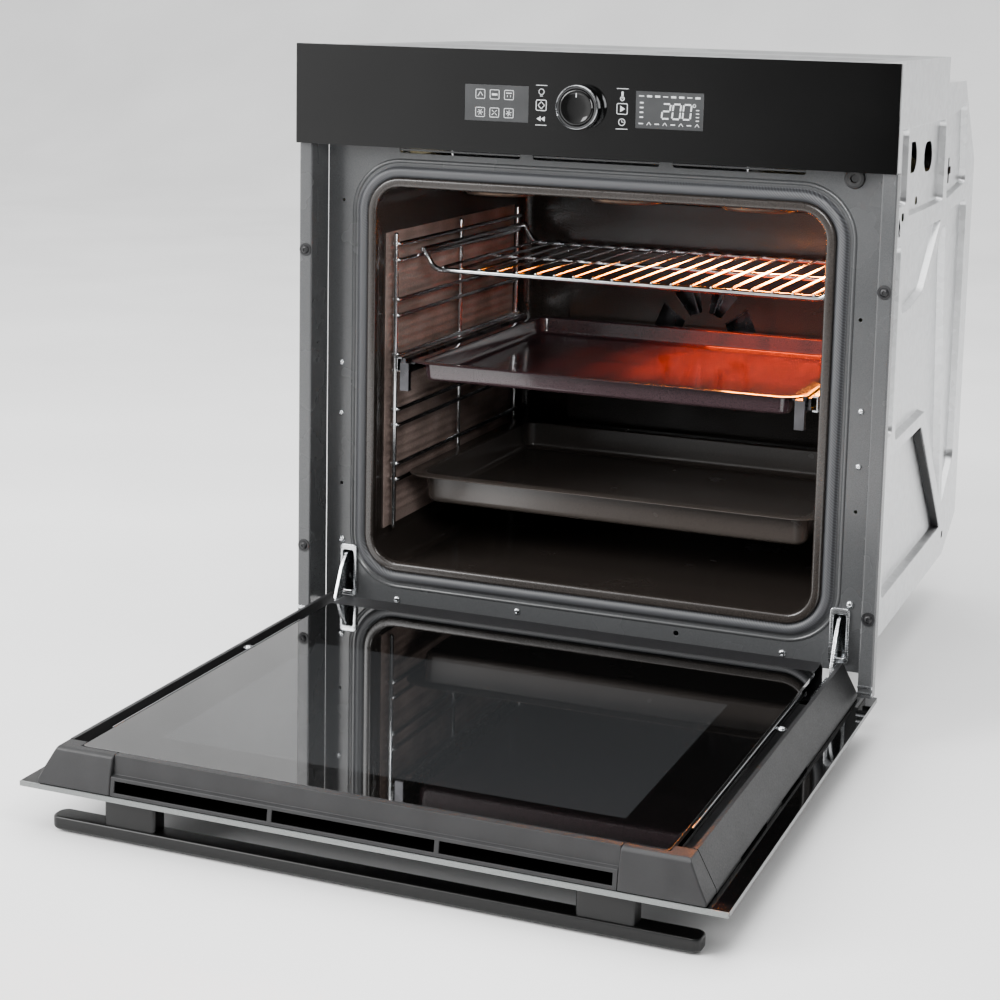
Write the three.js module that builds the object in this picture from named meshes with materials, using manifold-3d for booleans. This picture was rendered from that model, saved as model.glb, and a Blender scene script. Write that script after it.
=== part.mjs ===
// Built-in wall oven with a drop-down door, standing open as it is drawn.
// Millimetres, +X to the right, +Z up, the front faces -Y.
// Depths are counted back from the front face of the closed door, heights up from the base underside.
import * as THREE from 'three';
import { mergeVertices } from 'three/addons/utils/BufferGeometryUtils.js';
import Module from 'manifold-3d';

const wasm = await Module();
wasm.setup();

// ---- Driving dimensions ----
const fit = 0.3; // gap between pieces that touch
const sheet = 1.2; // folded steel sheet
const arcSteps = 6; // facets in a quarter corner

const frontWidth = 595;
const cabinetLap = 25.5; // how far the front reaches past the chassis on each side
const chassisHeight = 564;
const chassisDepth = 560;
const rearRoofDepth = 378; // where the full-height roof ends
const rearRoofDrop = 28; // step down to the lower rear roof
const rearSlope = { depth: 80, height: 91 };
const baseSlope = { depth: 75, height: 32 };

const frame = { gap: 6, sheet: 1.5, rise: 10, drop: 4 }; // gap behind the closed door
const column = { face: 6.5, flange: 14.5, seat: 20.5, seatWidth: 11, drop: 15 };
const sideSpace = 36; // chassis face to cavity face
const floorSpace = 36.5;
const roofSpace = 129.5;
const rearSpace = 110;
const liner = { wall: 2, corner: 34, lip: 7, lipReach: 4.5 };
const seal = { width: 13, thickness: 5 };
const wool = { thickness: 18, clear: 1 };
const sideSlot = { width: 44, height: 31, corner: 14, depths: [234, 316], drops: [81.5, 85.5] };
const keyhole = { depth: 438, drop: 124, arm: 14, width: 8 };

const glass = 4;
const fascia = { height: 97, rise: 1, doorGap: 2, carrierDepth: 16, wall: 2 };
const display = { width: 65, height: 34, centre: 85.5, depth: 14 };
const dial = { radius: 21, reach: 14, wall: 3.8, collar: 13.5, travel: 1.5, stem: 4 };
const encoder = { radius: 16, length: 9 };

const hinge = { depth: 14.5, drop: 10.5, pin: 4, bore: 4.3, lever: 3, slotWidth: 12.5 };
const hingeBox = { width: 19, length: 106, height: 52, base: 4, wall: 1.5 };
const doorDrop = 26; // door glass below the base underside
const doorThickness = 36;
const doorRail = { clear: 2, slope: 15, top: 3.5, foot: 3.4, ledge: 24.5, end: 26 };
const innerGlassInset = 14.5; // rail wall to the inner glass edge
const middleGlassDepth = 17;
const topRail = { height: 16, step: 20, lip: 7, tuck: 14, sheet: 1.5 };
const endCap = { length: 67.5 };
const bottomRail = { height: 45, clear: 10, sheet: 1.5 };
const handle = { length: 550, height: 19, thickness: 12, standOff: 25, postWidth: 47, postInset: 50 };
const handleDrop = 19; // door top to the handle's centre line

const ladder = { wire: 2.5, front: 80, rear: 405, levels: 5, pair: 16.5, inset: 10.5, rungInset: 14 };
const airOutlet = { pitch: 141, width: 128, height: 6, below: 2 };
const bumper = { radius: 9.5 };
const lowestRung = 83.5; // above the cavity floor
const highestRung = 86.5; // below the cavity roof
const runner = {
  height: 16, rail: 5.5, middle: 3.6, slider: 3.6, ledgeRise: 4.5, ledgeSheet: 1.5, hook: 24,
};
const shelf = { wire: 3, bar: 1.8, bars: 20, front: 128, rear: 412, drop: 20 };
const tray = { clear: 0.9, wall: 1, rimWidth: 11, depth: 20, front: 58, rear: 415, corner: 24 };
const pan = { clear: 0.7, wall: 1.2, rimWidth: 16, depth: 32, front: 88, rear: 414, corner: 30 };
const fan = { radius: 72, blades: 10, hub: 14, shaft: 4 };
const baffle = { width: 330, height: 300, depth: 26 };
const blower = { radius: 36, length: 290, blades: 12, duct: 26, wall: 1.5, scroll: 7.5, depth: 270 };
const lamp = { radius: 26, wallGap: 38, roofGap: 44 };
const element = { radius: 3.2, roofGap: 16, baseWidth: 330, grillWidth: 340 };
const originDepth = 265;

// ---- Derived places ----
const halfFront = frontWidth / 2;
const halfChassis = halfFront - cabinetLap;
const halfInside = halfChassis - sheet - fit;
const halfCavity = halfChassis - sideSpace;
const cavityFloor = floorSpace;
const cavityRoof = chassisHeight - roofSpace;
const cavityBack = chassisDepth - rearSpace;
const cavityMiddle = (cavityFloor + cavityRoof) / 2;
const cavityHeight = cavityRoof - cavityFloor;
const frameDepth = doorThickness + frame.gap;
const frameBack = frameDepth + frame.sheet;
const frontTop = chassisHeight + fascia.rise;
const fasciaFoot = frontTop - fascia.height;
const frameTop = fasciaFoot + frame.rise;
const controlHeight = (frontTop + fasciaFoot) / 2 - 1.5;
const doorTop = fasciaFoot - fascia.doorGap;
const stepWall = halfFront - column.flange; // inner face of the column's step
const rungStep = (cavityHeight - lowestRung - highestRung) / (ladder.levels - 1);
const rungHeight = (level) => cavityFloor + lowestRung + rungStep * level;
const rungLine = halfCavity - ladder.rungInset;
const uprightPlace = halfCavity - ladder.inset;
const railPlace = rungLine - ladder.wire - fit;
const middlePlace = railPlace - runner.rail - fit;
const sliderPlace = middlePlace - runner.middle - fit;
const runnerHeight = rungHeight(2) + ladder.pair / 2;
const baffleFace = cavityBack - baffle.depth;
const doorHalf = stepWall - doorRail.clear;
const railTop = doorHalf - doorRail.slope;
const railWall = railTop - doorRail.top;
const innerGlassHalf = railWall - innerGlassInset;
const hingeLine = railWall - hinge.slotWidth / 2;
const innerGlassDepth = doorThickness - glass;
const doorFoot = -doorDrop;
const bodyFoot = doorFoot + bottomRail.clear;
const glassSeat = doorFoot + bottomRail.height;
const railHead = doorTop - topRail.height;
const railEnd = doorTop - doorRail.end;
const lampPlace = halfCavity - lamp.wallGap;
const lampHeight = cavityRoof - lamp.roofGap;
const trayHalf = sliderPlace - runner.slider - tray.clear;
const panHalf = uprightPlace - ladder.wire - pan.clear;

// ---- Materials ----
const finish = (color, roughness, metalness) =>
  new THREE.MeshStandardMaterial({ color, roughness, metalness });
const enamel = finish(0x4c4c4d, 0.35, 0.1);
const galvanised = finish(0xc9cbcc, 0.42, 0.9);
const zinc = finish(0xd5d7d8, 0.3, 1.0);
const chrome = finish(0xdfe1e3, 0.12, 1.0);
const blackGlass = finish(0x0b0b0c, 0.05, 0.0);
const coatedGlass = finish(0x141516, 0.04, 0.2);
const railMetal = finish(0x55565a, 0.4, 0.6);
const blackPlastic = finish(0x111112, 0.5, 0.0);
const blackMetal = finish(0x0c0c0d, 0.3, 0.4);
const rubber = finish(0x2a2a2b, 0.55, 0.0);
const mineralWool = finish(0xb9ab86, 0.95, 0.0);
const catalytic = finish(0x6a5750, 0.85, 0.0);
const heater = finish(0x6b5a4e, 0.5, 0.8);
const lensGlass = finish(0xf1d9b0, 0.1, 0.0);
const screen = finish(0x4a4c4f, 0.2, 0.0);
const board = finish(0x1d5a38, 0.6, 0.0);

// ---- Solids ----
function solid(geometry) {
  const bare = geometry.clone();
  bare.deleteAttribute('normal');
  bare.deleteAttribute('uv');
  const merged = mergeVertices(bare, 1e-4);
  return new wasm.Manifold(new wasm.Mesh({
    numProp: 3,
    vertProperties: Float32Array.from(merged.attributes.position.array),
    triVerts: Uint32Array.from(merged.index.array),
  }));
}

function geometryOf(manifold) {
  const mesh = manifold.getMesh();
  const geometry = new THREE.BufferGeometry();
  geometry.setAttribute('position', new THREE.BufferAttribute(mesh.vertProperties, 3));
  geometry.setIndex(new THREE.BufferAttribute(mesh.triVerts, 1));
  geometry.computeVertexNormals();
  return geometry;
}

function joined(...geometries) {
  return geometryOf(geometries.map(solid).reduce((whole, piece) => whole.add(piece)));
}

function cut(geometry, ...tools) {
  return geometryOf(tools.map(solid).reduce((whole, tool) => whole.subtract(tool), solid(geometry)));
}

// ---- Outlines ----
function polygon(points) {
  return new THREE.Shape(points.map(([u, v]) => new THREE.Vector2(u, v)));
}

function rectangle(u0, v0, u1, v1) {
  return polygon([[u0, v0], [u1, v0], [u1, v1], [u0, v1]]);
}

function roundedOutline(u0, v0, u1, v1, radius) {
  const points = [];
  const corners = [[u1 - radius, v0 + radius], [u1 - radius, v1 - radius],
    [u0 + radius, v1 - radius], [u0 + radius, v0 + radius]];
  corners.forEach(([u, v], corner) => {
    for (let step = 0; step <= arcSteps; step += 1) {
      const angle = (corner - 1 + step / arcSteps) * Math.PI / 2;
      points.push([u + radius * Math.cos(angle), v + radius * Math.sin(angle)]);
    }
  });
  return polygon(points);
}

// Outline around the cavity axis, grown by `grow` past the cavity's inner faces.
function cavityOutline(grow) {
  return roundedOutline(-halfCavity - grow, cavityFloor - grow, halfCavity + grow, cavityRoof + grow,
    liner.corner + grow);
}

function ringOutline(outer, inner) {
  outer.holes.push(new THREE.Path(inner.getPoints()));
  return outer;
}

// Constant-thickness folded sheet: the points run along one face, the metal lies to their left.
function foldedSheet(points, thickness) {
  const path = points.map(([u, v]) => new THREE.Vector2(u, v));
  const normals = path.slice(1).map((point, i) => {
    const along = point.clone().sub(path[i]).normalize();
    return new THREE.Vector2(-along.y, along.x);
  });
  const inner = path.map((point, i) => {
    const before = normals[Math.max(i - 1, 0)];
    const after = normals[Math.min(i, normals.length - 1)];
    const mitre = before.clone().add(after).normalize();
    return point.clone().addScaledVector(mitre, thickness / mitre.dot(after));
  });
  return new THREE.Shape([...path, ...inner.reverse()]);
}

// ---- Extrusions along each axis ----
const extrude = (shape, depth) =>
  new THREE.ExtrudeGeometry(shape, { depth, bevelEnabled: false, curveSegments: 8 });
const alongX = new THREE.Matrix4().set(0, 0, 1, 0, 1, 0, 0, 0, 0, 1, 0, 0, 0, 0, 0, 1);
const alongY = new THREE.Matrix4().set(1, 0, 0, 0, 0, 0, -1, 0, 0, 1, 0, 0, 0, 0, 0, 1);

function prismX(shape, x0, x1) {
  return extrude(shape, x1 - x0).translate(0, 0, x0).applyMatrix4(alongX);
}

function prismY(shape, y0, y1) {
  return extrude(shape, y1 - y0).translate(0, 0, -y1).applyMatrix4(alongY);
}

function prismZ(shape, z0, z1) {
  return extrude(shape, z1 - z0).translate(0, 0, z0);
}

function block(x0, y0, z0, x1, y1, z1) {
  return prismZ(rectangle(x0, y0, x1, y1), z0, z1);
}

function cylinder(axis, radius, length, sides = 20) {
  const geometry = new THREE.CylinderGeometry(radius, radius, length, sides);
  if (axis === 'x') geometry.rotateZ(Math.PI / 2);
  if (axis === 'z') geometry.rotateX(Math.PI / 2);
  return geometry;
}

function rod(from, to, radius, sides = 6) {
  const along = new THREE.Vector3(...to).sub(new THREE.Vector3(...from));
  const geometry = new THREE.CylinderGeometry(radius, radius, along.length(), sides);
  const turn = new THREE.Quaternion().setFromUnitVectors(new THREE.Vector3(0, 1, 0),
    along.clone().normalize());
  const middle = new THREE.Vector3(...from).addScaledVector(along, 0.5);
  return geometry.applyQuaternion(turn).translate(middle.x, middle.y, middle.z);
}

function bentTube(points, radius, steps, sides = 6) {
  const route = new THREE.CatmullRomCurve3(points.map((point) => new THREE.Vector3(...point)),
    false, 'centripetal');
  const section = new THREE.Shape();
  for (let side = 0; side < sides; side += 1) {
    const angle = side / sides * 2 * Math.PI;
    const move = side === 0 ? 'moveTo' : 'lineTo';
    section[move](radius * Math.cos(angle), radius * Math.sin(angle));
  }
  return new THREE.ExtrudeGeometry(section, { steps, extrudePath: route });
}

function revolvedY(profile, facets = 28) {
  const points = profile.map(([radius, depth]) => new THREE.Vector2(radius, depth));
  if (THREE.ShapeUtils.area(points) < 0) points.reverse();
  return new THREE.LatheGeometry(points, facets);
}

// ---- Assembly helpers ----
const oven = new THREE.Group();
oven.position.set(0, -originDepth, 0);
const door = new THREE.Group();
door.position.set(0, hinge.depth, -hinge.drop);
door.rotation.x = Math.PI / 2; // lying open
oven.add(door);

function add(group, name, geometry, material, x = 0, y = 0, z = 0) {
  const mesh = new THREE.Mesh(geometry, material);
  mesh.name = name;
  mesh.position.set(x, y, z);
  group.add(mesh);
}

const sides = [['left', -1], ['right', 1]];

// Turns a piece drawn for the right side into its left-hand twin.
function handed(geometry, side) {
  if (side > 0) return geometry;
  return geometryOf(solid(geometry).mirror([1, 0, 0]));
}

// ---- Chassis ----
function sidePanelOutline() {
  const lugFoot = frameTop + fit;
  const lugFront = glass + fit + fascia.carrierDepth + fit;
  const start = frameBack + fit;
  const outline = polygon([
    [start, 0], [chassisDepth - baseSlope.depth, 0], [chassisDepth, baseSlope.height],
    [chassisDepth, chassisHeight - rearRoofDrop - rearSlope.height],
    [chassisDepth - rearSlope.depth, chassisHeight - rearRoofDrop],
    [rearRoofDepth, chassisHeight - rearRoofDrop], [rearRoofDepth, chassisHeight],
    [lugFront, chassisHeight], [lugFront, lugFoot], [start, lugFoot],
  ]);
  sideSlot.depths.forEach((depth, i) => {
    const [half, top] = [sideSlot.width / 2, chassisHeight - sideSlot.drops[i]];
    const path = roundedOutline(depth - half, top - sideSlot.height, depth + half, top,
      sideSlot.corner);
    outline.holes.push(new THREE.Path(path.getPoints()));
  });
  const { arm, width } = keyhole;
  const [u, v] = [keyhole.depth, chassisHeight - keyhole.drop];
  const cross = [[1, 0], [0, 1], [-1, 0], [0, -1]].flatMap(([a, b]) => [
    [a * arm + b * width / 2, b * arm - a * width / 2],
    [a * arm - b * width / 2, b * arm + a * width / 2],
    [(a - b) * width / 2, (a + b) * width / 2],
  ]);
  outline.holes.push(new THREE.Path(polygon(cross.map(([a, b]) => [u + a, v + b])).getPoints()));
  return outline;
}

function addChassis() {
  sides.forEach(([label, side]) => {
    add(oven, `side_panel_${label}`, prismX(sidePanelOutline(), -sheet, 0), galvanised,
      side > 0 ? halfChassis : -halfChassis + sheet);
  });
  const lugFront = glass + fit + fascia.carrierDepth + fit;
  const rearRoof = chassisHeight - rearRoofDrop;
  const roof = foldedSheet([[rearRoofDepth, rearRoof + fit], [rearRoofDepth, chassisHeight],
    [lugFront, chassisHeight]], sheet);
  add(oven, 'top_cover', prismX(roof, -halfInside, halfInside), galvanised);
  const rear = foldedSheet([
    [chassisDepth - baseSlope.depth + fit, 0], [chassisDepth, baseSlope.height],
    [chassisDepth, rearRoof - rearSlope.height], [chassisDepth - rearSlope.depth, rearRoof],
    [rearRoofDepth - sheet, rearRoof],
  ], sheet);
  add(oven, 'rear_cover', prismX(rear, -halfInside, halfInside), galvanised);
  const base = rectangle(frameBack + fit, 0, chassisDepth - baseSlope.depth - fit, sheet);
  add(oven, 'base_panel', prismX(base, -halfInside, halfInside), galvanised);
}

// ---- Front frame, columns and seal ----
function addFrontFrame() {
  const reach = stepWall - fit;
  const neck = cavityOutline(liner.wall + fit - liner.lip);
  const plate = ringOutline(rectangle(-reach, -frame.drop, reach, frameTop), neck);
  const slotHalf = hinge.slotWidth / 2;
  const [front, back] = [frameDepth - 1, frameBack + 1];
  const outletTop = fasciaFoot - airOutlet.below;
  const openings = [-1, 0, 1].map((place) => {
    const start = place * airOutlet.pitch - airOutlet.width / 2;
    return block(start, front, outletTop - airOutlet.height, start + airOutlet.width, back, outletTop);
  });
  sides.forEach(([, side]) => {
    const middle = side * hingeLine;
    openings.push(block(middle - slotHalf, front, hingeBox.base + 4, middle + slotHalf, back,
      hingeBox.base + hingeBox.height - 4));
  });
  add(oven, 'front_frame', cut(prismY(plate, frameDepth, frameBack), ...openings), enamel);

  const outer = halfFront - 0.5;
  const profile = foldedSheet([[stepWall, frameDepth - fit], [stepWall, column.face],
    [outer, column.face], [outer, column.seat], [outer - column.seatWidth, column.seat]], sheet);
  const trim = prismZ(profile, -column.drop, fasciaFoot - fit);
  sides.forEach(([label, side]) => {
    add(oven, `column_trim_${label}`, handed(trim, side), enamel);
  });
  const reachOut = frameDepth - fit - doorThickness - fit * 2;
  add(oven, 'door_bumper', cylinder('y', bumper.radius, reachOut), rubber,
    hingeLine - 5, frameDepth - fit - reachOut / 2, fasciaFoot - bumper.radius + 1);
}

function addCavity() {
  const neckBack = frameBack + fit + sheet;
  const mouth = -liner.lip;
  const shell = cut(
    prismY(cavityOutline(liner.wall), frameBack + fit, cavityBack + liner.wall),
    prismY(cavityOutline(0), neckBack, cavityBack),
    prismY(cavityOutline(mouth), 0, cavityBack),
    cylinder('y', fan.shaft * 2, 20, 12).translate(0, cavityBack, cavityMiddle),
    cylinder('y', lamp.radius * 0.6, 20, 16).translate(lampPlace, cavityBack, lampHeight),
  );
  const lipFront = frameDepth - liner.lipReach;
  const neck = ringOutline(cavityOutline(mouth + liner.wall), cavityOutline(mouth));
  const lip = ringOutline(cavityOutline(0), cavityOutline(mouth));
  const body = joined(shell, prismY(neck, lipFront + 1, frameBack + fit + 1),
    prismY(lip, lipFront, frameDepth - fit));
  add(oven, 'cavity_liner', body, enamel);

  const gasket = ringOutline(cavityOutline(seal.width + fit), cavityOutline(fit));
  add(oven, 'cavity_seal', prismY(gasket, -seal.thickness, 0), rubber, 0, frameDepth - fit);

  const inside = liner.wall + wool.clear;
  const blanket = cut(
    prismY(ringOutline(cavityOutline(inside + wool.thickness), cavityOutline(inside)),
      frameBack + 6, cavityBack),
    ...sides.map(([, side]) => block(
      side * hingeLine - hingeBox.width / 2 - 2, frameDepth, 0,
      side * hingeLine + hingeBox.width / 2 + 2, frameBack + hingeBox.length + 4,
      hingeBox.base + hingeBox.height + 2,
    )),
    block(-element.baseWidth / 2 - 16, frameBack + 40, cavityFloor - liner.wall - 10,
      element.baseWidth / 2 + 16, cavityBack - 40, cavityFloor + 1),
  );
  add(oven, 'insulation_wrap', blanket, mineralWool);
}

// ---- Heating, fan and light ----
function addFan() {
  const half = baffle.width / 2;
  const low = cavityMiddle - baffle.height / 2;
  const high = cavityMiddle + baffle.height / 2;
  const rim = ringOutline(roundedOutline(-half, low, half, high, 24),
    roundedOutline(-half + sheet, low + sheet, half - sheet, high - sheet, 24 - sheet));
  const face = roundedOutline(-half, low, half, high, 24);
  const slots = 8;
  for (let slot = 0; slot < slots; slot += 1) {
    const middle = (slot + 0.5) / slots * 2 * Math.PI;
    const spread = 0.26;
    const petal = [[30, -spread], [62, -spread], [62, spread], [30, spread]].map(([radius, turn]) =>
      [radius * Math.cos(middle + turn), cavityMiddle + radius * Math.sin(middle + turn)]);
    face.holes.push(new THREE.Path(polygon(petal).getPoints()));
  }
  add(oven, 'fan_baffle', joined(prismY(rim, baffleFace, cavityBack - fit),
    prismY(face, baffleFace, baffleFace + sheet)), enamel);

  const ring = new THREE.TorusGeometry(fan.radius + 24, element.radius + 0.6, 6, 32);
  ring.rotateX(Math.PI / 2);
  add(oven, 'ring_element', ring, heater, 0, cavityBack - 12, cavityMiddle);

  const depth = 15;
  const spoke = (turn) => block(fan.hub - 3, -depth / 2, -0.8, fan.radius, depth / 2, 0.8).rotateY(turn);
  const vanes = Array.from({ length: fan.blades }, (_, i) => spoke(i / fan.blades * 2 * Math.PI));
  const wheel = joined(
    cylinder('y', fan.radius, 1.2, 28).translate(0, depth / 2, 0),
    cylinder('y', fan.hub, depth, 14),
    cylinder('y', fan.shaft, 12, 10).translate(0, depth / 2 + 5.5, 0),
    ...vanes,
  );
  add(oven, 'fan_wheel', wheel, galvanised, 0, baffleFace + sheet + 2 + depth / 2, cavityMiddle);
  const motorFront = cavityBack + liner.wall + 6;
  const motor = joined(cylinder('y', 36, 26, 24), block(-48, -12, -8, 48, -9, 8),
    cylinder('y', 20, 20, 18).translate(0, 20, 0));
  add(oven, 'fan_motor', motor, galvanised, 0, motorFront + 13, cavityMiddle);
}

// Serpentine with `loops` runs from front to back, its two ends turned away at the back.
function serpentine(width, front, rear, loops, height) {
  const points = [[-width / 2, rear + 18, height]];
  const step = width / (loops - 1);
  for (let loop = 0; loop < loops; loop += 1) {
    const x = -width / 2 + step * loop;
    const [near, far] = loop % 2 === 0 ? [rear, front] : [front, rear];
    const bend = Math.sign(far - near) * step / 2;
    points.push([x, near + bend * 0.6, height], [x, far - bend * 0.6, height]);
    if (loop < loops - 1) points.push([x + step / 2, far, height]);
  }
  points.push([width / 2, rear + 18, height]);
  return points;
}

function addElements() {
  const grill = serpentine(element.grillWidth, 110, 366, 6, 0);
  add(oven, 'grill_element', bentTube(grill, element.radius, 90, 6), heater,
    0, 0, cavityRoof - element.roofGap);
  const base = serpentine(element.baseWidth, 110, 350, 4, 0);
  add(oven, 'base_element', bentTube(base, element.radius, 60, 6), heater,
    0, 0, cavityFloor - liner.wall - fit * 2 - element.radius);

  const lens = revolvedY([[0, -9], [lamp.radius * 0.5, -8], [lamp.radius * 0.85, -5], [lamp.radius, -1],
    [lamp.radius, 0], [lamp.radius - 3, 0], [lamp.radius - 4, -2], [lamp.radius * 0.5, -6], [0, -7]], 20);
  add(oven, 'lamp_lens', lens, lensGlass, lampPlace, cavityBack - fit, lampHeight);
  const housing = revolvedY([[0, 6], [12, 6], [12, 0], [22, 0], [22, 8], [16, 8], [16, 34], [0, 34]], 20);
  add(oven, 'lamp_housing', housing, zinc, lampPlace, cavityBack + liner.wall + fit, lampHeight);
}

// ---- Wire side racks, catalytic panels and runners ----
function addRacks() {
  const low = cavityFloor + 32;
  const high = cavityRoof - 59;
  const wires = [ladder.front, (ladder.front + ladder.rear) / 2, ladder.rear].map((depth) =>
    rod([uprightPlace, depth, low], [uprightPlace, depth, high], ladder.wire));
  for (let level = 0; level < ladder.levels; level += 1) {
    [0, ladder.pair].forEach((above) => {
      const height = rungHeight(level) + above;
      wires.push(rod([rungLine, ladder.front - 1, height], [rungLine, ladder.rear + 5, height],
        ladder.wire));
    });
  }
  const rack = joined(...wires);
  const panel = block(0, 0, 0, sheet, ladder.rear - ladder.front + 16, high - low);
  sides.forEach(([label, side]) => {
    add(oven, `side_rack_${label}`, handed(rack, side), chrome);
    add(oven, `catalytic_panel_${label}`, panel, catalytic,
      side * (halfCavity - 3.2) - sheet / 2, ladder.front - 6, low);
  });
}

function addRunners(trayBody, middleBody) {
  const half = runner.height / 2;
  const front = ladder.front - 16;
  const rear = ladder.rear;
  const rail = cut(
    block(railPlace - runner.rail, front + 6, -half, railPlace, rear, half),
    block(railPlace - runner.rail - 1, front, -half + 2, railPlace - 1.4, rear - 4, half - 2),
  );
  const middle = block(middlePlace - runner.middle, front + 3, -half + 2, middlePlace, rear - 8, half - 2);
  const inner = sliderPlace - runner.slider;
  const slider = joined(
    block(inner, front, -half, sliderPlace, rear - 12, half),
    block(inner - tray.rimWidth + 1, front, runner.ledgeRise - runner.ledgeSheet,
      inner + 0.5, rear - 12, runner.ledgeRise),
    block(inner - 6, front - 6, -runner.hook, sliderPlace, front + 0.5, runner.ledgeRise),
  );
  sides.forEach(([label, side]) => {
    add(oven, `runner_rail_${label}`, handed(rail, side), zinc, 0, 0, runnerHeight);
    add(middleBody, `runner_middle_${label}`, handed(middle, side), zinc, 0, 0, runnerHeight);
    add(trayBody, `runner_slider_${label}`, handed(slider, side), zinc, 0, 0, runnerHeight);
  });
}

// Open pan with a flat rim; its top face is at height 0.
function tub(half, size) {
  const inset = size.rimWidth;
  const outline = (shrink, radius) => roundedOutline(-half + shrink, size.front + shrink,
    half - shrink, size.rear - shrink, radius);
  return cut(
    joined(prismZ(outline(0, size.corner), -size.wall, 0),
      prismZ(outline(inset, size.corner - 4), -size.depth, -size.wall / 2)),
    prismZ(outline(inset + size.wall, size.corner - 4 - size.wall), -size.depth + size.wall, 1),
  );
}

function addTrays(shelfBody, trayBody, panBody) {
  const railHeight = rungHeight(ladder.levels - 1) + ladder.wire + fit + shelf.wire;
  const railLine = uprightPlace - ladder.wire - fit * 2 - shelf.wire;
  const deckLine = railLine - 13;
  const deck = -shelf.drop;
  const wires = [-1, 1].flatMap((side) => [
    rod([side * railLine, shelf.front, 0], [side * railLine, shelf.rear, 0], shelf.wire),
    ...[shelf.front + shelf.wire, shelf.rear - shelf.wire].map((depth) =>
      rod([side * (railLine - 1.6), depth, 0], [side * deckLine, depth, deck], shelf.wire)),
  ]);
  [shelf.front + shelf.wire, shelf.rear - shelf.wire].forEach((depth) => {
    wires.push(rod([-deckLine - 1, depth, deck], [deckLine + 1, depth, deck], shelf.wire));
  });
  for (let bar = 0; bar < shelf.bars; bar += 1) {
    const x = deckLine * (2 * (bar + 0.5) / shelf.bars - 1);
    wires.push(rod([x, shelf.front + 1, deck + shelf.wire], [x, shelf.rear - 1, deck + shelf.wire],
      shelf.bar, 4));
  }
  add(shelfBody, 'wire_shelf', joined(...wires), chrome, 0, 0, railHeight);
  const trayTop = runnerHeight + runner.ledgeRise + fit + tray.wall;
  add(trayBody, 'baking_tray', tub(trayHalf, tray), enamel, 0, 0, trayTop);
  const panTop = rungHeight(0) + ladder.wire + fit + pan.wall;
  add(panBody, 'drip_pan', tub(panHalf, pan), enamel, 0, 0, panTop);
}

// ---- Controls ----
function addControls() {
  const half = halfFront;
  const places = [['left', -display.centre], ['right', display.centre]];
  const window = (middle, extra, from, to) => block(middle - display.width / 2 - extra, from,
    controlHeight - display.height / 2 - extra, middle + display.width / 2 + extra, to,
    controlHeight + display.height / 2 + extra);
  const round = (radius, from, to) => cylinder('y', radius, to - from, 24)
    .translate(0, (from + to) / 2, controlHeight);
  const pane = block(-half, 0, fasciaFoot, half, glass, frontTop);
  add(oven, 'control_fascia', cut(pane, round(dial.collar + 1.5, -1, glass + 1),
    ...places.map(([, middle]) => window(middle, fit, -1, glass + 1))), blackGlass);

  const front = glass + fit;
  const back = front + fascia.carrierDepth;
  const edge = (inset) => rectangle(-half + inset, fasciaFoot + inset, half - inset, frontTop - inset);
  add(oven, 'fascia_carrier', cut(prismY(edge(0.5), front, back),
    prismY(edge(0.5 + fascia.wall), front - 1, back - fascia.wall),
    round(dial.stem + 2, front, back + 1)), galvanised);
  places.forEach(([label, middle]) => {
    add(oven, `display_${label}`, window(middle, 0, 0.2, display.depth), screen);
  });

  const webFront = back - fascia.wall;
  const { radius, reach, wall, collar, stem } = dial;
  const hubEnd = webFront - encoder.length - fit * 2;
  add(oven, 'dial_ring', revolvedY([[stem + 2, -3], [radius - wall, -3], [radius - wall, -reach],
    [radius, -reach], [radius, -0.4], [collar, -0.4], [collar, hubEnd], [stem + 2, hubEnd],
    [stem + 2, -3]]), chrome, 0, 0, controlHeight);
  const capRadius = radius - wall - fit;
  const capRear = -3 - dial.travel - 0.5;
  add(oven, 'dial_cap', revolvedY([[0, -reach - 0.6], [capRadius - 1.2, -reach - 0.6],
    [capRadius, -reach + 0.4], [capRadius, capRear], [stem, capRear], [stem, hubEnd + 2], [0, hubEnd + 2]]),
  blackGlass, 0, 0, controlHeight);
  add(oven, 'dial_encoder', revolvedY([[stem + 2.5, webFront - fit - encoder.length],
    [encoder.radius, webFront - fit - encoder.length], [encoder.radius, webFront - fit],
    [stem + 2.5, webFront - fit], [stem + 2.5, webFront - fit - encoder.length]], 20),
  blackPlastic, 0, 0, controlHeight);

  const boardFront = back + 5;
  const posts = [-110, 110].flatMap((x) => [-20, 20].map((z) =>
    cylinder('y', 3, boardFront - back - fit + 0.5, 8)
      .translate(x, (boardFront + back + fit + 0.5) / 2, z)));
  const chips = [[-70, -8, 30, 12], [10, 6, 22, 9], [60, -10, 26, 10]].map(([x, z, size, depth]) =>
    block(x, boardFront + 1, z - size / 4, x + size, boardFront + 1 + depth, z + size / 4));
  add(oven, 'control_board', joined(block(-125, boardFront, -26, 125, boardFront + 1.6, 26),
    ...posts, ...chips), board, 0, 0, controlHeight);
}

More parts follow.
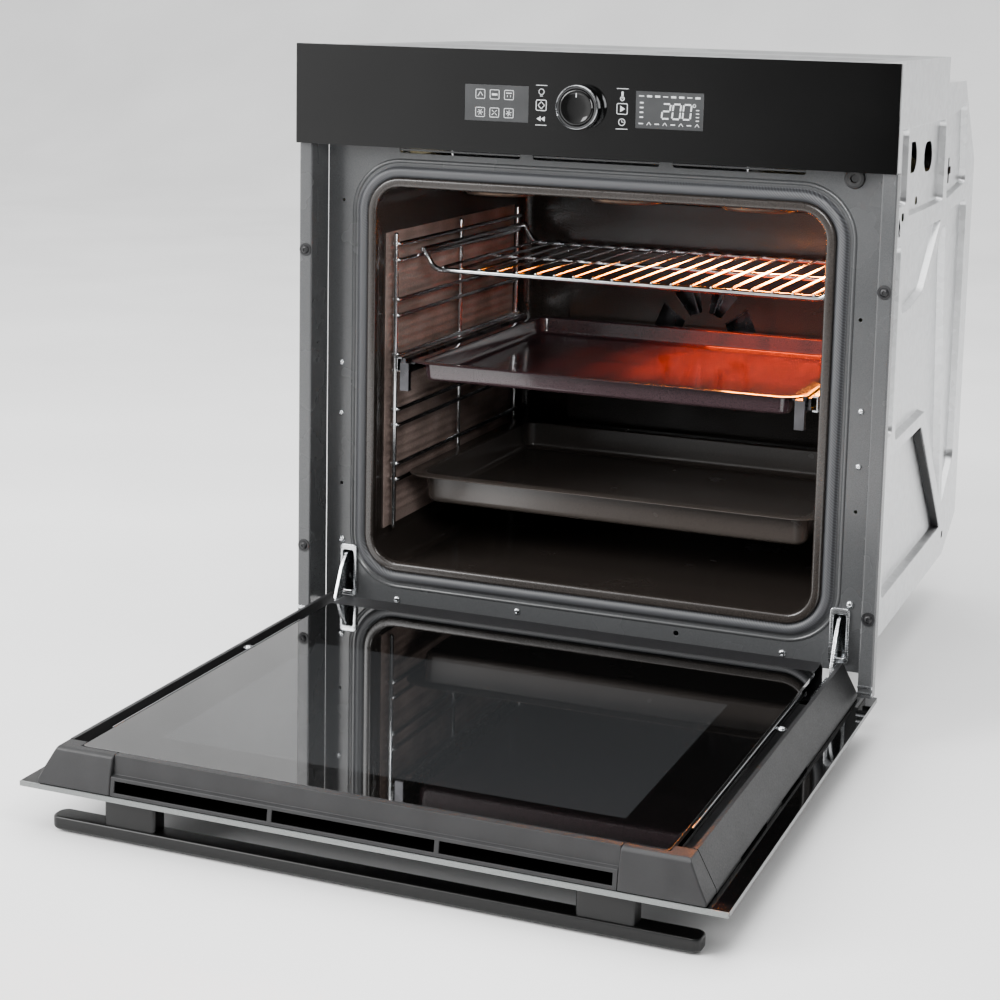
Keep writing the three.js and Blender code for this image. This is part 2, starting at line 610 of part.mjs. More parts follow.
// ---- Cooling air and mains inlet ----
function addCooling() {
  const ductFloor = cavityRoof + liner.wall + wool.clear + wool.thickness + 1;
  const outer = blower.radius + blower.scroll + blower.wall;
  const half = blower.length / 2 + 5;
  const height = ductFloor + outer + 6;
  const start = frameBack + fit;
  const { wall, duct, depth } = blower;
  const housing = cut(
    joined(block(-half, start, ductFloor, half, depth, ductFloor + duct),
      cylinder('x', outer, half * 2, 28).translate(0, depth, height)),
    block(-half + wall, start - 1, ductFloor + wall, half - wall, depth, ductFloor + duct - wall),
    cylinder('x', outer - wall, half * 2 + 2, 28).translate(0, depth, height),
  );
  add(oven, 'blower_housing', housing, galvanised);

  const length = blower.length;
  const discs = [-1, 0, 1].map((place) => cylinder('x', blower.radius, 1.6, 24)
    .translate(place * (length / 2 - 0.8), 0, 0));
  const vanes = Array.from({ length: blower.blades }, (_, i) =>
    block(-length / 2 + 0.5, -0.7, blower.radius - 11, length / 2 - 0.5, 0.7, blower.radius - 1)
      .rotateX(i / blower.blades * 2 * Math.PI));
  const shaft = cylinder('x', 4, length + 12, 10).translate(1, 0, 0);
  add(oven, 'blower_wheel', joined(...discs, ...vanes, shaft), galvanised, 0, depth, height);
  add(oven, 'blower_motor', joined(cylinder('x', 27, 30, 22), cylinder('x', 14, 40, 14)),
    galvanised, half + 3 + 20, depth, height);

  const roof = chassisHeight - rearRoofDrop;
  const box = cut(block(-30, -22, 0, 30, 22, 22), block(-27, -26, 3, 27, 19, 19),
    cylinder('y', 6, 20, 14).translate(0, 20, 11));
  add(oven, 'terminal_block', box, blackPlastic, -160, rearRoofDepth + 50, roof + fit);
}

// ---- Hinges ----
function leverOutline(points) {
  const outline = [];
  for (let step = 0; step <= arcSteps * 2; step += 1) {
    const angle = Math.PI + step / (arcSteps * 2) * Math.PI;
    outline.push([hinge.depth + 7 * Math.cos(angle), -hinge.drop + 7 * Math.sin(angle)]);
  }
  return polygon([...outline, ...points]);
}

function addHinges(doorPanel) {
  const { base, height, width, length, wall } = hingeBox;
  const start = frameBack + fit * 2;
  const face = frameDepth;
  const top = base + height;
  const plate = leverOutline([[face - 18, base + 4], [face - 9, base + 17], [face, base + 22],
    [face + 18, base + wall / 2], [face + 50, base + wall / 2], [face + 50, top - 10],
    [face, top - 6], [face - 8, top - 8], [face - 18, top - 20], [face - 31, base + 4]]);
  const plateStart = hingeLine - 0.9;
  const body = joined(
    cut(block(hingeLine - width / 2, start, base, hingeLine + width / 2, start + length, top),
      block(hingeLine - width / 2 + wall, start - 1, base + wall, hingeLine + width / 2 - wall,
        start + length - wall, top + 1)),
    prismX(plate, plateStart, plateStart + hinge.lever),
    cylinder('x', hinge.pin, 7.4, 14).translate(plateStart + hinge.lever - 3.7, hinge.depth, -hinge.drop),
  );
  const armTop = top - 8;
  const arm = leverOutline([[hinge.depth + 7, armTop], [hinge.depth - 7, armTop]]);
  const bore = new THREE.Path();
  bore.absarc(hinge.depth, -hinge.drop, hinge.bore, 0, 2 * Math.PI);
  arm.holes.push(new THREE.Path(bore.getPoints(5).slice(0, -1)));
  const armEnd = plateStart - 0.7;
  const reach = joined(prismX(arm, armEnd - 3.4, armEnd),
    block(armEnd - 1, hinge.depth - 7, armTop - 10, railWall - fit, hinge.depth - 1, armTop));
  sides.forEach(([label, side]) => {
    add(oven, `hinge_body_${label}`, handed(body, side), zinc);
    add(doorPanel, `hinge_arm_${label}`, handed(reach, side), zinc);
  });
}

// ---- Door, drawn closed ----
function addDoor(panel) {
  const back = doorThickness;
  const bodyFront = glass + 0.6;
  add(panel, 'door_outer_glass', block(-halfFront, 0, doorFoot, halfFront, glass, doorTop), blackGlass);
  add(panel, 'door_middle_glass', block(-innerGlassHalf + 4, middleGlassDepth, glassSeat + 10,
    innerGlassHalf - 4, middleGlassDepth + glass, railHead - 10), coatedGlass);
  add(panel, 'door_inner_glass', block(-innerGlassHalf, innerGlassDepth, glassSeat, innerGlassHalf,
    back, railHead), coatedGlass);

  const capStart = doorHalf - endCap.length;
  const behind = innerGlassDepth - fit;
  const head = foldedSheet([[behind, railHead - topRail.tuck], [behind, railHead + fit],
    [back, railHead + fit], [back, railHead + topRail.lip], [topRail.step + 1, railHead + topRail.lip + 2],
    [topRail.step, doorTop - 3], [bodyFront, doorTop - 1]], topRail.sheet);
  const vents = [-1, 0, 1].map((place) => {
    const length = (capStart * 2 - 16) / 3;
    const middle = place * (length + 4);
    return block(middle - length / 2, bodyFront + 3, doorTop - 8, middle + length / 2,
      topRail.step - 3, doorTop + 1);
  });
  add(panel, 'door_top_rail', cut(prismX(head, -capStart + fit, capStart - fit), ...vents), railMetal);

  const capPlan = polygon([[capStart, bodyFront], [doorHalf, bodyFront],
    [doorHalf, bodyFront + doorRail.foot], [railTop, back], [capStart, back]]);
  const capSide = polygon([[bodyFront, railEnd + fit], [back, railEnd + fit],
    [back, railHead + topRail.lip], [back - 2, doorTop - 6.5], [topRail.step, doorTop - 2.5],
    [bodyFront, doorTop - 0.5]]);
  const capBlock = solid(prismZ(capPlan, railEnd, doorTop)).intersect(solid(prismX(capSide, 0, halfFront)));
  const cap = cut(geometryOf(capBlock), block(0, behind, railEnd - 1, innerGlassHalf + fit, back + 1,
    railHead + fit));

  const rail = foldedSheet([[doorHalf, bodyFront], [doorHalf, bodyFront + doorRail.foot], [railTop, back],
    [railWall, back], [railWall, middleGlassDepth - fit],
    [railWall - doorRail.ledge, middleGlassDepth - fit]], sheet);
  const notches = [[0.42, 0.6], [0.7, 0.86]].map(([from, to]) => {
    const reach = railEnd - bodyFoot;
    return block(doorHalf - 3, bodyFront - 1, bodyFoot + reach * from, doorHalf + 1, bodyFront + 2,
      bodyFoot + reach * to);
  });
  const sideRail = cut(prismZ(rail, bodyFoot, railEnd), ...notches,
    block(railWall - doorRail.ledge - 1, 0, bodyFoot - 1, railWall - fit, back - 4,
      hingeBox.base + hingeBox.height));
  sides.forEach(([label, side]) => {
    add(panel, `door_end_cap_${label}`, handed(cap, side), railMetal);
    add(panel, `door_side_rail_${label}`, handed(sideRail, side), railMetal);
  });

  const foot = foldedSheet([[bodyFront, glassSeat - 5], [bodyFront, bodyFoot], [back - 6, bodyFoot],
    [back, bodyFoot + 7], [back, glassSeat - fit], [behind, glassSeat - fit],
    [behind, glassSeat + 11]], bottomRail.sheet);
  add(panel, 'door_bottom_rail', prismX(foot, -innerGlassHalf + 1, innerGlassHalf - 1), blackPlastic);

  const line = doorTop - handleDrop;
  const bar = roundedOutline(-handle.length / 2, line - handle.height / 2, handle.length / 2,
    line + handle.height / 2, 6);
  const outer = handle.length / 2 - handle.postInset;
  const posts = [-1, 1].map((side) => {
    const ends = [side * outer, side * (outer - handle.postWidth)].sort((a, b) => a - b);
    return block(ends[0], -handle.standOff - 1, line - handle.height / 2 + 1.5,
      ends[1], -fit, line + handle.height / 2 - 1.5);
  });
  add(panel, 'door_handle', joined(prismY(bar, -handle.standOff - handle.thickness, -handle.standOff),
    ...posts), blackMetal);
}

// ---- The whole oven ----
const shelfBody = new THREE.Group();
const trayBody = new THREE.Group();
const middleBody = new THREE.Group();
const panBody = new THREE.Group();
oven.add(shelfBody, trayBody, middleBody, panBody);
const doorPanel = new THREE.Group();
doorPanel.position.set(0, -hinge.depth, hinge.drop);
door.add(doorPanel);

addChassis();
addFrontFrame();
addCavity();
addFan();
addElements();
addRacks();
addRunners(trayBody, middleBody);
addTrays(shelfBody, trayBody, panBody);
addControls();
addCooling();
addHinges(doorPanel);
addDoor(doorPanel);

export default oven;
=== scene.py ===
import bmesh
import bpy
import math
from mathutils import Matrix, Vector


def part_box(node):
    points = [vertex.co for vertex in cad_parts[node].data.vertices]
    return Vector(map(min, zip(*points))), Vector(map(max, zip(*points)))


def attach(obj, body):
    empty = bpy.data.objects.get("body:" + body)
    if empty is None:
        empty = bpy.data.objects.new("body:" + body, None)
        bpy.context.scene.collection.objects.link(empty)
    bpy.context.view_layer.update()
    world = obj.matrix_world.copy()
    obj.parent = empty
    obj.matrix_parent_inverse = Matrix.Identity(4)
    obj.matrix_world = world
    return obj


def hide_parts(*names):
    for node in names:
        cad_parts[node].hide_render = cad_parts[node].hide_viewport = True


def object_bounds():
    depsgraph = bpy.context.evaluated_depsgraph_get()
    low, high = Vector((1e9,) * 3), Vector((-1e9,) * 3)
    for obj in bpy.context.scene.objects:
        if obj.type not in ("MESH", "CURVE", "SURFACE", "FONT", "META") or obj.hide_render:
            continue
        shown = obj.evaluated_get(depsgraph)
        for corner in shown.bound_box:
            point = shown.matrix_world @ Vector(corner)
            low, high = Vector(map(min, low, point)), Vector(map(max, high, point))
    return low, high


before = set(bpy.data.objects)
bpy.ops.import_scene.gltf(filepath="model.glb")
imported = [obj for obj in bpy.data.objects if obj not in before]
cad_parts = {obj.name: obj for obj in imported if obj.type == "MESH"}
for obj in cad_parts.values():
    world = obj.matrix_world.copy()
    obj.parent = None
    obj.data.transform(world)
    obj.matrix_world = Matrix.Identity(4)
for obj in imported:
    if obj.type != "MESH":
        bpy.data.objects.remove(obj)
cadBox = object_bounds()
print("frame loaded")

mm = 0.001
sides = (("left", -1), ("right", 1))

# Camera and where it looks
cameraPlace = {
    "azimuth": 20.61, "elevation": 8.78, "roll": 1.45, "distance": 1.9118,
    "target": (-0.00999, -0.265, 0.3210), "lens": 72.98, "shift": (-0.0661, -0.18695),
}


def addCamera():
    az, el, roll = (math.radians(cameraPlace[key]) for key in ("azimuth", "elevation", "roll"))
    back = Vector((math.sin(az) * math.cos(el), -math.cos(az) * math.cos(el), math.sin(el)))
    right = Vector((math.cos(az), math.sin(az), 0))
    up = back.cross(right)
    turned = right * math.cos(roll) + up * math.sin(roll)
    raised = up * math.cos(roll) - right * math.sin(roll)
    camera = bpy.data.objects.new("camera", bpy.data.cameras.new("camera"))
    bpy.context.scene.collection.objects.link(camera)
    axes = Matrix((turned, raised, back)).transposed()
    camera.matrix_world = Matrix.Translation(
        Vector(cameraPlace["target"]) + back * cameraPlace["distance"]) @ axes.to_4x4()
    camera.data.sensor_width = 36
    camera.data.lens = cameraPlace["lens"]
    camera.data.shift_x, camera.data.shift_y = cameraPlace["shift"]
    camera.data.clip_start, camera.data.clip_end = 0.05, 50
    bpy.context.scene.camera = camera


addCamera()
print("camera placed")


# Materials
def linear(code):
    channels = [int(code[i:i + 2], 16) / 255 for i in (1, 3, 5)]
    return [c / 12.92 if c <= 0.04045 else ((c + 0.055) / 1.055) ** 2.4 for c in channels] + [1.0]


def addNode(tree, kind, inputs=None, **settings):
    node = tree.nodes.new(kind)
    for key, value in settings.items():
        setattr(node, key, value)
    for key, value in (inputs or {}).items():
        if isinstance(value, bpy.types.NodeSocket):
            tree.links.new(value, node.inputs[key])
        else:
            node.inputs[key].default_value = value
    return node


shaderSockets = {
    "color": "Base Color", "metal": "Metallic", "rough": "Roughness", "coat": "Coat Weight",
    "coatRough": "Coat Roughness", "ior": "IOR", "glow": "Emission Color",
    "glowStrength": "Emission Strength",
}


def startMaterial(name, **surface):
    material = bpy.data.materials.new(name)
    material.use_nodes = True
    tree = material.node_tree
    shader = tree.nodes["Principled BSDF"]
    for key, value in surface.items():
        shader.inputs[shaderSockets[key]].default_value = linear(value) if isinstance(value, str) else value
    return material, tree, shader


def place(tree):
    return addNode(tree, "ShaderNodeTexCoord").outputs["Object"]


def speckle(tree, size, detail=3.0, distort=0.0, coordinates=None):
    return addNode(tree, "ShaderNodeTexNoise", {
        "Vector": coordinates or place(tree), "Scale": 1 / size, "Detail": detail, "Distortion": distort,
    }).outputs["Fac"]


def spread(tree, value, low, high, start=0.3, end=0.7):
    return addNode(tree, "ShaderNodeMapRange", {"Value": value, "From Min": start, "From Max": end,
                                                "To Min": low, "To Max": high}).outputs["Result"]


def colorSteps(tree, value, *stops):
    node = addNode(tree, "ShaderNodeValToRGB", {"Fac": value})
    ramp = node.color_ramp
    while len(ramp.elements) < len(stops):
        ramp.elements.new(0.5)
    for element, (at, code) in zip(ramp.elements, stops):
        element.position = at
        element.color = linear(code)
    return node.outputs["Color"]


def bumpOn(tree, shader, height, distance, strength=1.0):
    node = addNode(tree, "ShaderNodeBump", {"Height": height, "Distance": distance, "Strength": strength})
    tree.links.new(node.outputs["Normal"], shader.inputs["Normal"])


def feed(tree, shader, **sockets):
    for key, socket in sockets.items():
        tree.links.new(socket, shader.inputs[shaderSockets[key]])


def vitreousEnamel(name, dark, pale, rough=(0.22, 0.34), fleck=0.9 * mm, coat=0.15, wave=0.35):
    # glass fused on steel: a wet gloss over a slightly wavy, finely flecked ground
    material, tree, shader = startMaterial(name, coat=coat, coatRough=0.12, ior=1.52)
    flecks = speckle(tree, fleck, 2.0)
    waves = speckle(tree, 14 * mm, 2.0)
    feed(tree, shader, color=colorSteps(tree, flecks, (0.35, dark), (0.62, pale)),
         rough=spread(tree, speckle(tree, 60 * mm), *rough))
    bumpOn(tree, shader, waves, 0.25 * mm, wave)
    return material


def zincSpangle(name, dark, pale, rough=(0.3, 0.46), crystal=7 * mm):
    # hot-dip galvanised sheet: soft crystal patches that catch the light one by one
    material, tree, shader = startMaterial(name, metal=1.0)
    cells = addNode(tree, "ShaderNodeTexVoronoi", {"Vector": place(tree), "Scale": 1 / crystal,
                                                   "Randomness": 1.0})
    tone = addNode(tree, "ShaderNodeSeparateColor", {"Color": cells.outputs["Color"]}).outputs["Red"]
    grain = speckle(tree, 1.4 * mm, 3.0)
    feed(tree, shader, color=colorSteps(tree, tone, (0.0, dark), (1.0, pale)),
         rough=spread(tree, tone, *rough, start=0.0, end=1.0))
    bumpOn(tree, shader, grain, 0.03 * mm, 0.3)
    return material


def rolledSteel(name, dark, pale, rough=(0.16, 0.3), streak=(60, 1200, 1200)):
    # bright zinc or chrome plate on rolled strip: fine drawn lines along the length
    material, tree, shader = startMaterial(name, metal=1.0)
    stretched = addNode(tree, "ShaderNodeMapping", {"Vector": place(tree), "Scale": streak})
    lines = speckle(tree, 1.0, 4.0, coordinates=stretched.outputs["Vector"])
    feed(tree, shader, color=colorSteps(tree, lines, (0.3, dark), (0.7, pale)),
         rough=spread(tree, lines, *rough))
    bumpOn(tree, shader, lines, 0.04 * mm, 0.4)
    return material


def powderCoat(name, dark, pale, rough=(0.34, 0.46), grit=0.7 * mm, depth=0.06 * mm):
    # baked powder paint: an even satin skin with a fine orange peel
    material, tree, shader = startMaterial(name, ior=1.4)
    peel = speckle(tree, grit * 2, 2.0)
    feed(tree, shader, color=colorSteps(tree, speckle(tree, 25 * mm), (0.3, dark), (0.7, pale)),
         rough=spread(tree, peel, *rough))
    bumpOn(tree, shader, peel, depth, 0.5)
    return material


def floatGlass(name, dark, pale, rough=(0.025, 0.06)):
    # back-printed float glass: deep black under a flat mirror gloss, with the faintest haze
    material, tree, shader = startMaterial(name, ior=1.45)
    haze = speckle(tree, 120 * mm, 3.0)
    feed(tree, shader, color=colorSteps(tree, haze, (0.35, dark), (0.7, pale)),
         rough=spread(tree, haze, *rough))
    return material


windowPlan = {"half": 200 * mm, "near": -0.399, "far": -0.670, "fade": 0.6 * mm}


def windowGlass(name):
    # coated inner pane: a solid black printed border round a smoky clear window
    material, tree, shader = startMaterial(name, ior=1.6, coat=0.7, coatRough=0.02)
    axes = addNode(tree, "ShaderNodeSeparateXYZ", {"Vector": place(tree)})

    def inside(axis, middle, half):
        away = addNode(tree, "ShaderNodeMath", {0: axes.outputs[axis], 1: middle}, operation="SUBTRACT")
        away = addNode(tree, "ShaderNodeMath", {0: away.outputs[0]}, operation="ABSOLUTE")
        return spread(tree, away.outputs[0], 1.0, 0.0, half - windowPlan["fade"], half + windowPlan["fade"])

    near, far = windowPlan["near"], windowPlan["far"]
    inX, inY = inside("X", 0.0, windowPlan["half"]), inside("Y", (near + far) / 2, (near - far) / 2)
    window = addNode(tree, "ShaderNodeMath", {0: inX, 1: inY}, operation="MULTIPLY").outputs[0]
    haze = speckle(tree, 90 * mm, 2.0)
    feed(tree, shader, color=colorSteps(tree, window, (0.0, "#050505"), (1.0, "#1f2021")),
         rough=spread(tree, haze, 0.02, 0.05))
    return material


def braidedSeal(name):
    # silicone tube under a fibre braid: slanted threads 2 mm apart, a dull sheen
    material, tree, shader = startMaterial(name)
    slanted = addNode(tree, "ShaderNodeMapping", {"Vector": place(tree), "Rotation": (0.6, 0.6, 0.6)})
    threads = addNode(tree, "ShaderNodeTexWave", {"Vector": slanted.outputs["Vector"],
                                                  "Scale": 0.314 / (2 * mm), "Distortion": 1.5},
                      wave_type="BANDS").outputs["Fac"]
    feed(tree, shader, color=colorSteps(tree, threads, (0.2, "#2c2d2f"), (0.8, "#4b4c4f")),
         rough=spread(tree, threads, 0.38, 0.52, 0.0, 1.0))
    bumpOn(tree, shader, threads, 0.25 * mm, 0.35)
    return material


def porousCatalytic(name):
    # catalytic enamel: a matt, gritty pinkish-brown coat full of pin holes
    material, tree, shader = startMaterial(name)
    grit = speckle(tree, 1.6 * mm, 4.0)
    blotch = speckle(tree, 45 * mm, 2.0)
    mixed = addNode(tree, "ShaderNodeMath", {0: grit, 1: blotch}, operation="ADD").outputs[0]
    feed(tree, shader, color=colorSteps(tree, spread(tree, mixed, 0.0, 1.0, 0.7, 1.3),
                                        (0.0, "#63544e"), (0.5, "#84726a"), (1.0, "#a08d85")),
         rough=spread(tree, grit, 0.55, 0.8))
    bumpOn(tree, shader, grit, 0.3 * mm, 0.5)
    return material


def fibreWool(name):
    # needled mineral wool: a matt tangle of straw-coloured fibres
    material, tree, shader = startMaterial(name, rough=0.95)
    fibres = speckle(tree, 3 * mm, 8.0, 2.5)
    feed(tree, shader, color=colorSteps(tree, fibres, (0.3, "#8d7d55"), (0.7, "#d3c69c")))
    bumpOn(tree, shader, fibres, 1.2 * mm, 0.8)
    return material


def moulded(name, dark, pale, rough=(0.4, 0.55), grain=0.8 * mm, depth=0.08 * mm):
    # moulded plastic or rubber: spark-eroded grain, a soft grey edge of light
    material, tree, shader = startMaterial(name)
    texture = speckle(tree, grain, 3.0)
    feed(tree, shader, color=colorSteps(tree, texture, (0.3, dark), (0.7, pale)),
         rough=spread(tree, texture, *rough))
    bumpOn(tree, shader, texture, depth, 0.5)
    return material


def heatedTube(name):
    # oxidised heater tube: brown steel with darker heat bands
    material, tree, shader = startMaterial(name, metal=0.8)
    bands = speckle(tree, 22 * mm, 3.0)
    feed(tree, shader, color=colorSteps(tree, bands, (0.3, "#3b322c"), (0.5, "#5d4e44"), (0.75, "#7b6553")),
         rough=spread(tree, speckle(tree, 2 * mm), 0.35, 0.6))
    return material


def warmLens(name):
    # pressed lamp glass lit from behind: a warm glow with faint moulded ripples
    material, tree, shader = startMaterial(name, color="#ffe2b4", rough=0.12, glow="#ffb35c", ior=1.5)
    ripple = addNode(tree, "ShaderNodeTexWave", {"Vector": place(tree), "Scale": 0.314 / (5 * mm)},
                     wave_type="RINGS").outputs["Fac"]
    feed(tree, shader, glowStrength=spread(tree, ripple, 1.2, 2.4, 0.0, 1.0))
    bumpOn(tree, shader, ripple, 0.4 * mm, 0.6)
    return material


def printedSymbols(name):
    # screen-printed ceramic ink, pale grey, with a slight grain at its surface and a faint painted glow
    material, tree, shader = startMaterial(name, rough=0.5, glow="#e8ecef", glowStrength=0.05)
    feed(tree, shader, color=colorSteps(tree, speckle(tree, 0.6 * mm), (0.3, "#a3a5a6"), (0.7, "#c2c4c5")))
    return material


def displayFace(name):
    # display window: smoky grey filter with a faint random mottle
    material, tree, shader = startMaterial(name, rough=0.3)
    feed(tree, shader, color=colorSteps(tree, speckle(tree, 30 * mm), (0.3, "#262728"), (0.7, "#303132")))
    return material


def circuitBoard(name):
    # solder mask over copper tracks 1.5 mm apart
    material, tree, shader = startMaterial(name, rough=0.35)
    tracks = addNode(tree, "ShaderNodeTexBrick", {"Vector": place(tree), "Scale": 1 / (30 * mm),
                                                  "Mortar Size": 0.03}).outputs["Fac"]
    feed(tree, shader, color=colorSteps(tree, tracks, (0.0, "#12502f"), (1.0, "#2f8a55")))
    return material


finishes = {
    "enamel": vitreousEnamel("vitreous enamel, fired grey", "#3c3d3e", "#464748", (0.2, 0.3)),
    "cavity": vitreousEnamel("vitreous enamel, fired charcoal", "#211d1a", "#2c2724", (0.18, 0.28), 1.0 * mm),
    "tray_enamel": vitreousEnamel("vitreous enamel, fired violet-brown", "#2a1d20", "#38292d", (0.1, 0.16),
                                  0.9 * mm, 0.5, 0.25),
    "pan_enamel": vitreousEnamel("vitreous enamel, fired grey-brown", "#35302d", "#403a36", (0.22, 0.28),
                                 0.7 * mm, 0.3, 0.1),
    "galvanised": zincSpangle("galvanised steel, hot-dipped", "#cfd0d1", "#dedfe0", (0.3, 0.36)),
    "dull_zinc": zincSpangle("galvanised steel, skin-passed dull", "#909192", "#9c9d9e", (0.36, 0.42),
                             5 * mm),
    "zinc": rolledSteel("steel strip, bright zinc-plated", "#b9bcbf", "#eceef0"),
    "runner_steel": rolledSteel("steel strip, dark passivated", "#3e3e40", "#59595c", (0.24, 0.32),
                                (50, 50, 50)),
    "chrome_wire": rolledSteel("steel wire, chrome-plated", "#b5b8bb", "#e6e8ea", (0.08, 0.2)),
    "chrome_trim": rolledSteel("zinc casting, smoked chrome", "#8c8e90", "#aeb0b2", (0.06, 0.14)),
    "control_glass": floatGlass("float glass, back-printed black", "#050505", "#090909"),
    "door_glass": floatGlass("float glass, back-printed door black", "#050505", "#080808"),
    "rail_paint": powderCoat("steel section, powder-coated grey", "#1c1c1d", "#242425", (0.42, 0.55)),
    "handle_paint": powderCoat("aluminium bar, anodised black", "#030303", "#050505", (0.36, 0.4),
                               2 * mm, 0.003 * mm),
    "black_plastic": moulded("PBT, moulded black", "#111112", "#1c1c1e"),
    "seal_rubber": braidedSeal("silicone seal, fibre-braided"),
    "bumper_rubber": moulded("EPDM rubber, moulded", "#0c0c0d", "#161617", (0.5, 0.65)),
    "mineral_wool": fibreWool("mineral wool, needled"),
    "catalytic": porousCatalytic("catalytic enamel, sprayed porous"),
    "heater_steel": heatedTube("heater tube, oxidised"),
    "lamp_glass": warmLens("borosilicate lens, pressed"),
    "display_face": displayFace("polycarbonate window, smoked"),
    "circuit_board": circuitBoard("fibreglass laminate, solder-masked"),
    "symbol_print": printedSymbols("ceramic ink, screen-printed"),
    "screw_black": powderCoat("steel screw, black oxide", "#151516", "#242426", (0.28, 0.4)),
    "ground_edge": moulded("float glass, ground edge", "#5f6261", "#7b7e7d", (0.25, 0.4),
                           0.3 * mm, 0.03 * mm),
    "inner_glass": windowGlass("coated pane, black-bordered"),
}
print("materials ready")


# Mesh tools
def makeObject(name, bm, material):
    mesh = bpy.data.meshes.new(name)
    bm.to_mesh(mesh)
    bm.free()
    mesh.materials.append(material)
    made = bpy.data.objects.new(name, mesh)
    bpy.context.scene.collection.objects.link(made)
    return made


def finishPiece(name, bm, body, slot, replaces=(), sharp=35, finish=None, even=False):
    bmesh.ops.remove_doubles(bm, verts=bm.verts, dist=2e-6)
    bmesh.ops.recalc_face_normals(bm, faces=bm.faces)
    for face in bm.faces:
        face.smooth = True
    for edge in bm.edges:
        edge.smooth = not edge.is_manifold or edge.calc_face_angle(0) < math.radians(sharp)
    piece = makeObject(name, bm, finishes[finish or slot])
    if even:
        piece.modifiers.new("even", "WEIGHTED_NORMAL").keep_sharp = True
    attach(piece, body)
    if replaces:
        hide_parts(*replaces)
    return piece


def thicken(piece, thickness, offset):
    wall = piece.modifiers.new("sheet", "SOLIDIFY")
    wall.thickness, wall.offset = thickness, offset
    piece.modifiers.new("even", "WEIGHTED_NORMAL").keep_sharp = True


def roundedLoop(u0, v0, u1, v1, radius, steps=8):
    corners = ((u1 - radius, v0 + radius, -90), (u1 - radius, v1 - radius, 0),
               (u0 + radius, v1 - radius, 90), (u0 + radius, v0 + radius, 180))
    loop = []
    for cu, cv, start in corners:
        for step in range(steps + 1):
            turn = math.radians(start + 90 * step / steps)
            loop.append((cu + radius * math.cos(turn), cv + radius * math.sin(turn)))
    return loop


def inMillimetres(loop):
    return [(u * mm, v * mm) for u, v in loop]


def quarterTurns(steps, first=1):
    return [math.pi / 2 * step / steps for step in range(first, steps + 1)]


def circleLoop(u, v, radius, steps=24):
    return [(u + radius * math.cos(2 * math.pi * i / steps), v + radius * math.sin(2 * math.pi * i / steps))
            for i in range(steps)]


def loft(bm, rings, closeRound=False, capStart=False, capEnd=False):
    rows = [[bm.verts.new(point) for point in ring] for ring in rings]
    pairs = list(zip(rows, rows[1:])) + ([(rows[-1], rows[0])] if closeRound else [])
    for first, second in pairs:
        for i in range(len(first)):
            bm.faces.new((first[i - 1], first[i], second[i], second[i - 1]))
    if capStart:
        bm.faces.new(rows[0])
    if capEnd:
        bm.faces.new(rows[-1][::-1])
    return rows


def onX(u, v, depth):
    return Vector((depth, u, v))


def onY(u, v, depth):
    return Vector((u, depth, v))


def onZ(u, v, depth):
    return Vector((u, v, depth))


def fillFlat(bm, outlines, along, depth):
    edges = []
    for outline in outlines:
        verts = [bm.verts.new(along(u, v, depth)) for u, v in outline]
        edges += [bm.edges.new((verts[i - 1], verts[i])) for i in range(len(verts))]
    filled = bmesh.ops.triangle_fill(bm, use_beauty=True, use_dissolve=False, edges=edges)["geom"]
    return [item for item in filled if isinstance(item, bmesh.types.BMFace)]


def addPlate(bm, outlines, along, start, end):
    faces = fillFlat(bm, outlines, along, start)
    grown = bmesh.ops.extrude_face_region(bm, geom=faces, use_keep_orig=True)["geom"]
    move = along(0, 0, end) - along(0, 0, start)
    bmesh.ops.translate(bm, vec=move, verts=[item for item in grown if isinstance(item, bmesh.types.BMVert)])


def soften(bm, width, segments=2, limit=30):
    bmesh.ops.recalc_face_normals(bm, faces=bm.faces)
    edges = [edge for edge in bm.edges
             if edge.is_manifold and edge.calc_face_angle(0) > math.radians(limit)]
    if edges and width:
        bmesh.ops.bevel(bm, geom=edges, offset=width, offset_type="OFFSET", segments=segments,
                        profile=0.5, affect="EDGES", clamp_overlap=True)


def softened(name, outlines, along, start, end, width, body, slot, replaces=(), finish=None, sharp=50):
    bm = bmesh.new()
    addPlate(bm, outlines, along, start, end)
    soften(bm, width)
    finishPiece(name, bm, body, slot, replaces, sharp, finish, True)


def reworked(name, body, slot, width, segments=2, finish=None, sharp=40):
    # the same shape with its edges rolled over
    bm = bmesh.new()
    bm.from_mesh(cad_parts[name].data)
    bmesh.ops.remove_doubles(bm, verts=bm.verts, dist=1e-5)
    bmesh.ops.dissolve_limit(bm, angle_limit=math.radians(0.7), verts=bm.verts, edges=bm.edges)
    soften(bm, width, segments)
    finishPiece(name + "_skin", bm, body, slot, (name,), sharp, finish, True)


def roundRoute(points, radius, steps=6):
    points = [Vector(point) for point in points]
    route = [points[0]]
    for before, corner, after in zip(points, points[1:], points[2:]):
        a, b = (before - corner), (after - corner)
        reach = min(radius, a.length * 0.49, b.length * 0.49)
        start, end = corner + a.normalized() * reach, corner + b.normalized() * reach
        for step in range(steps + 1):
            t = step / steps
            route.append(start * (1 - t) ** 2 + corner * 2 * t * (1 - t) + end * t ** 2)
    route.append(points[-1])
    return route


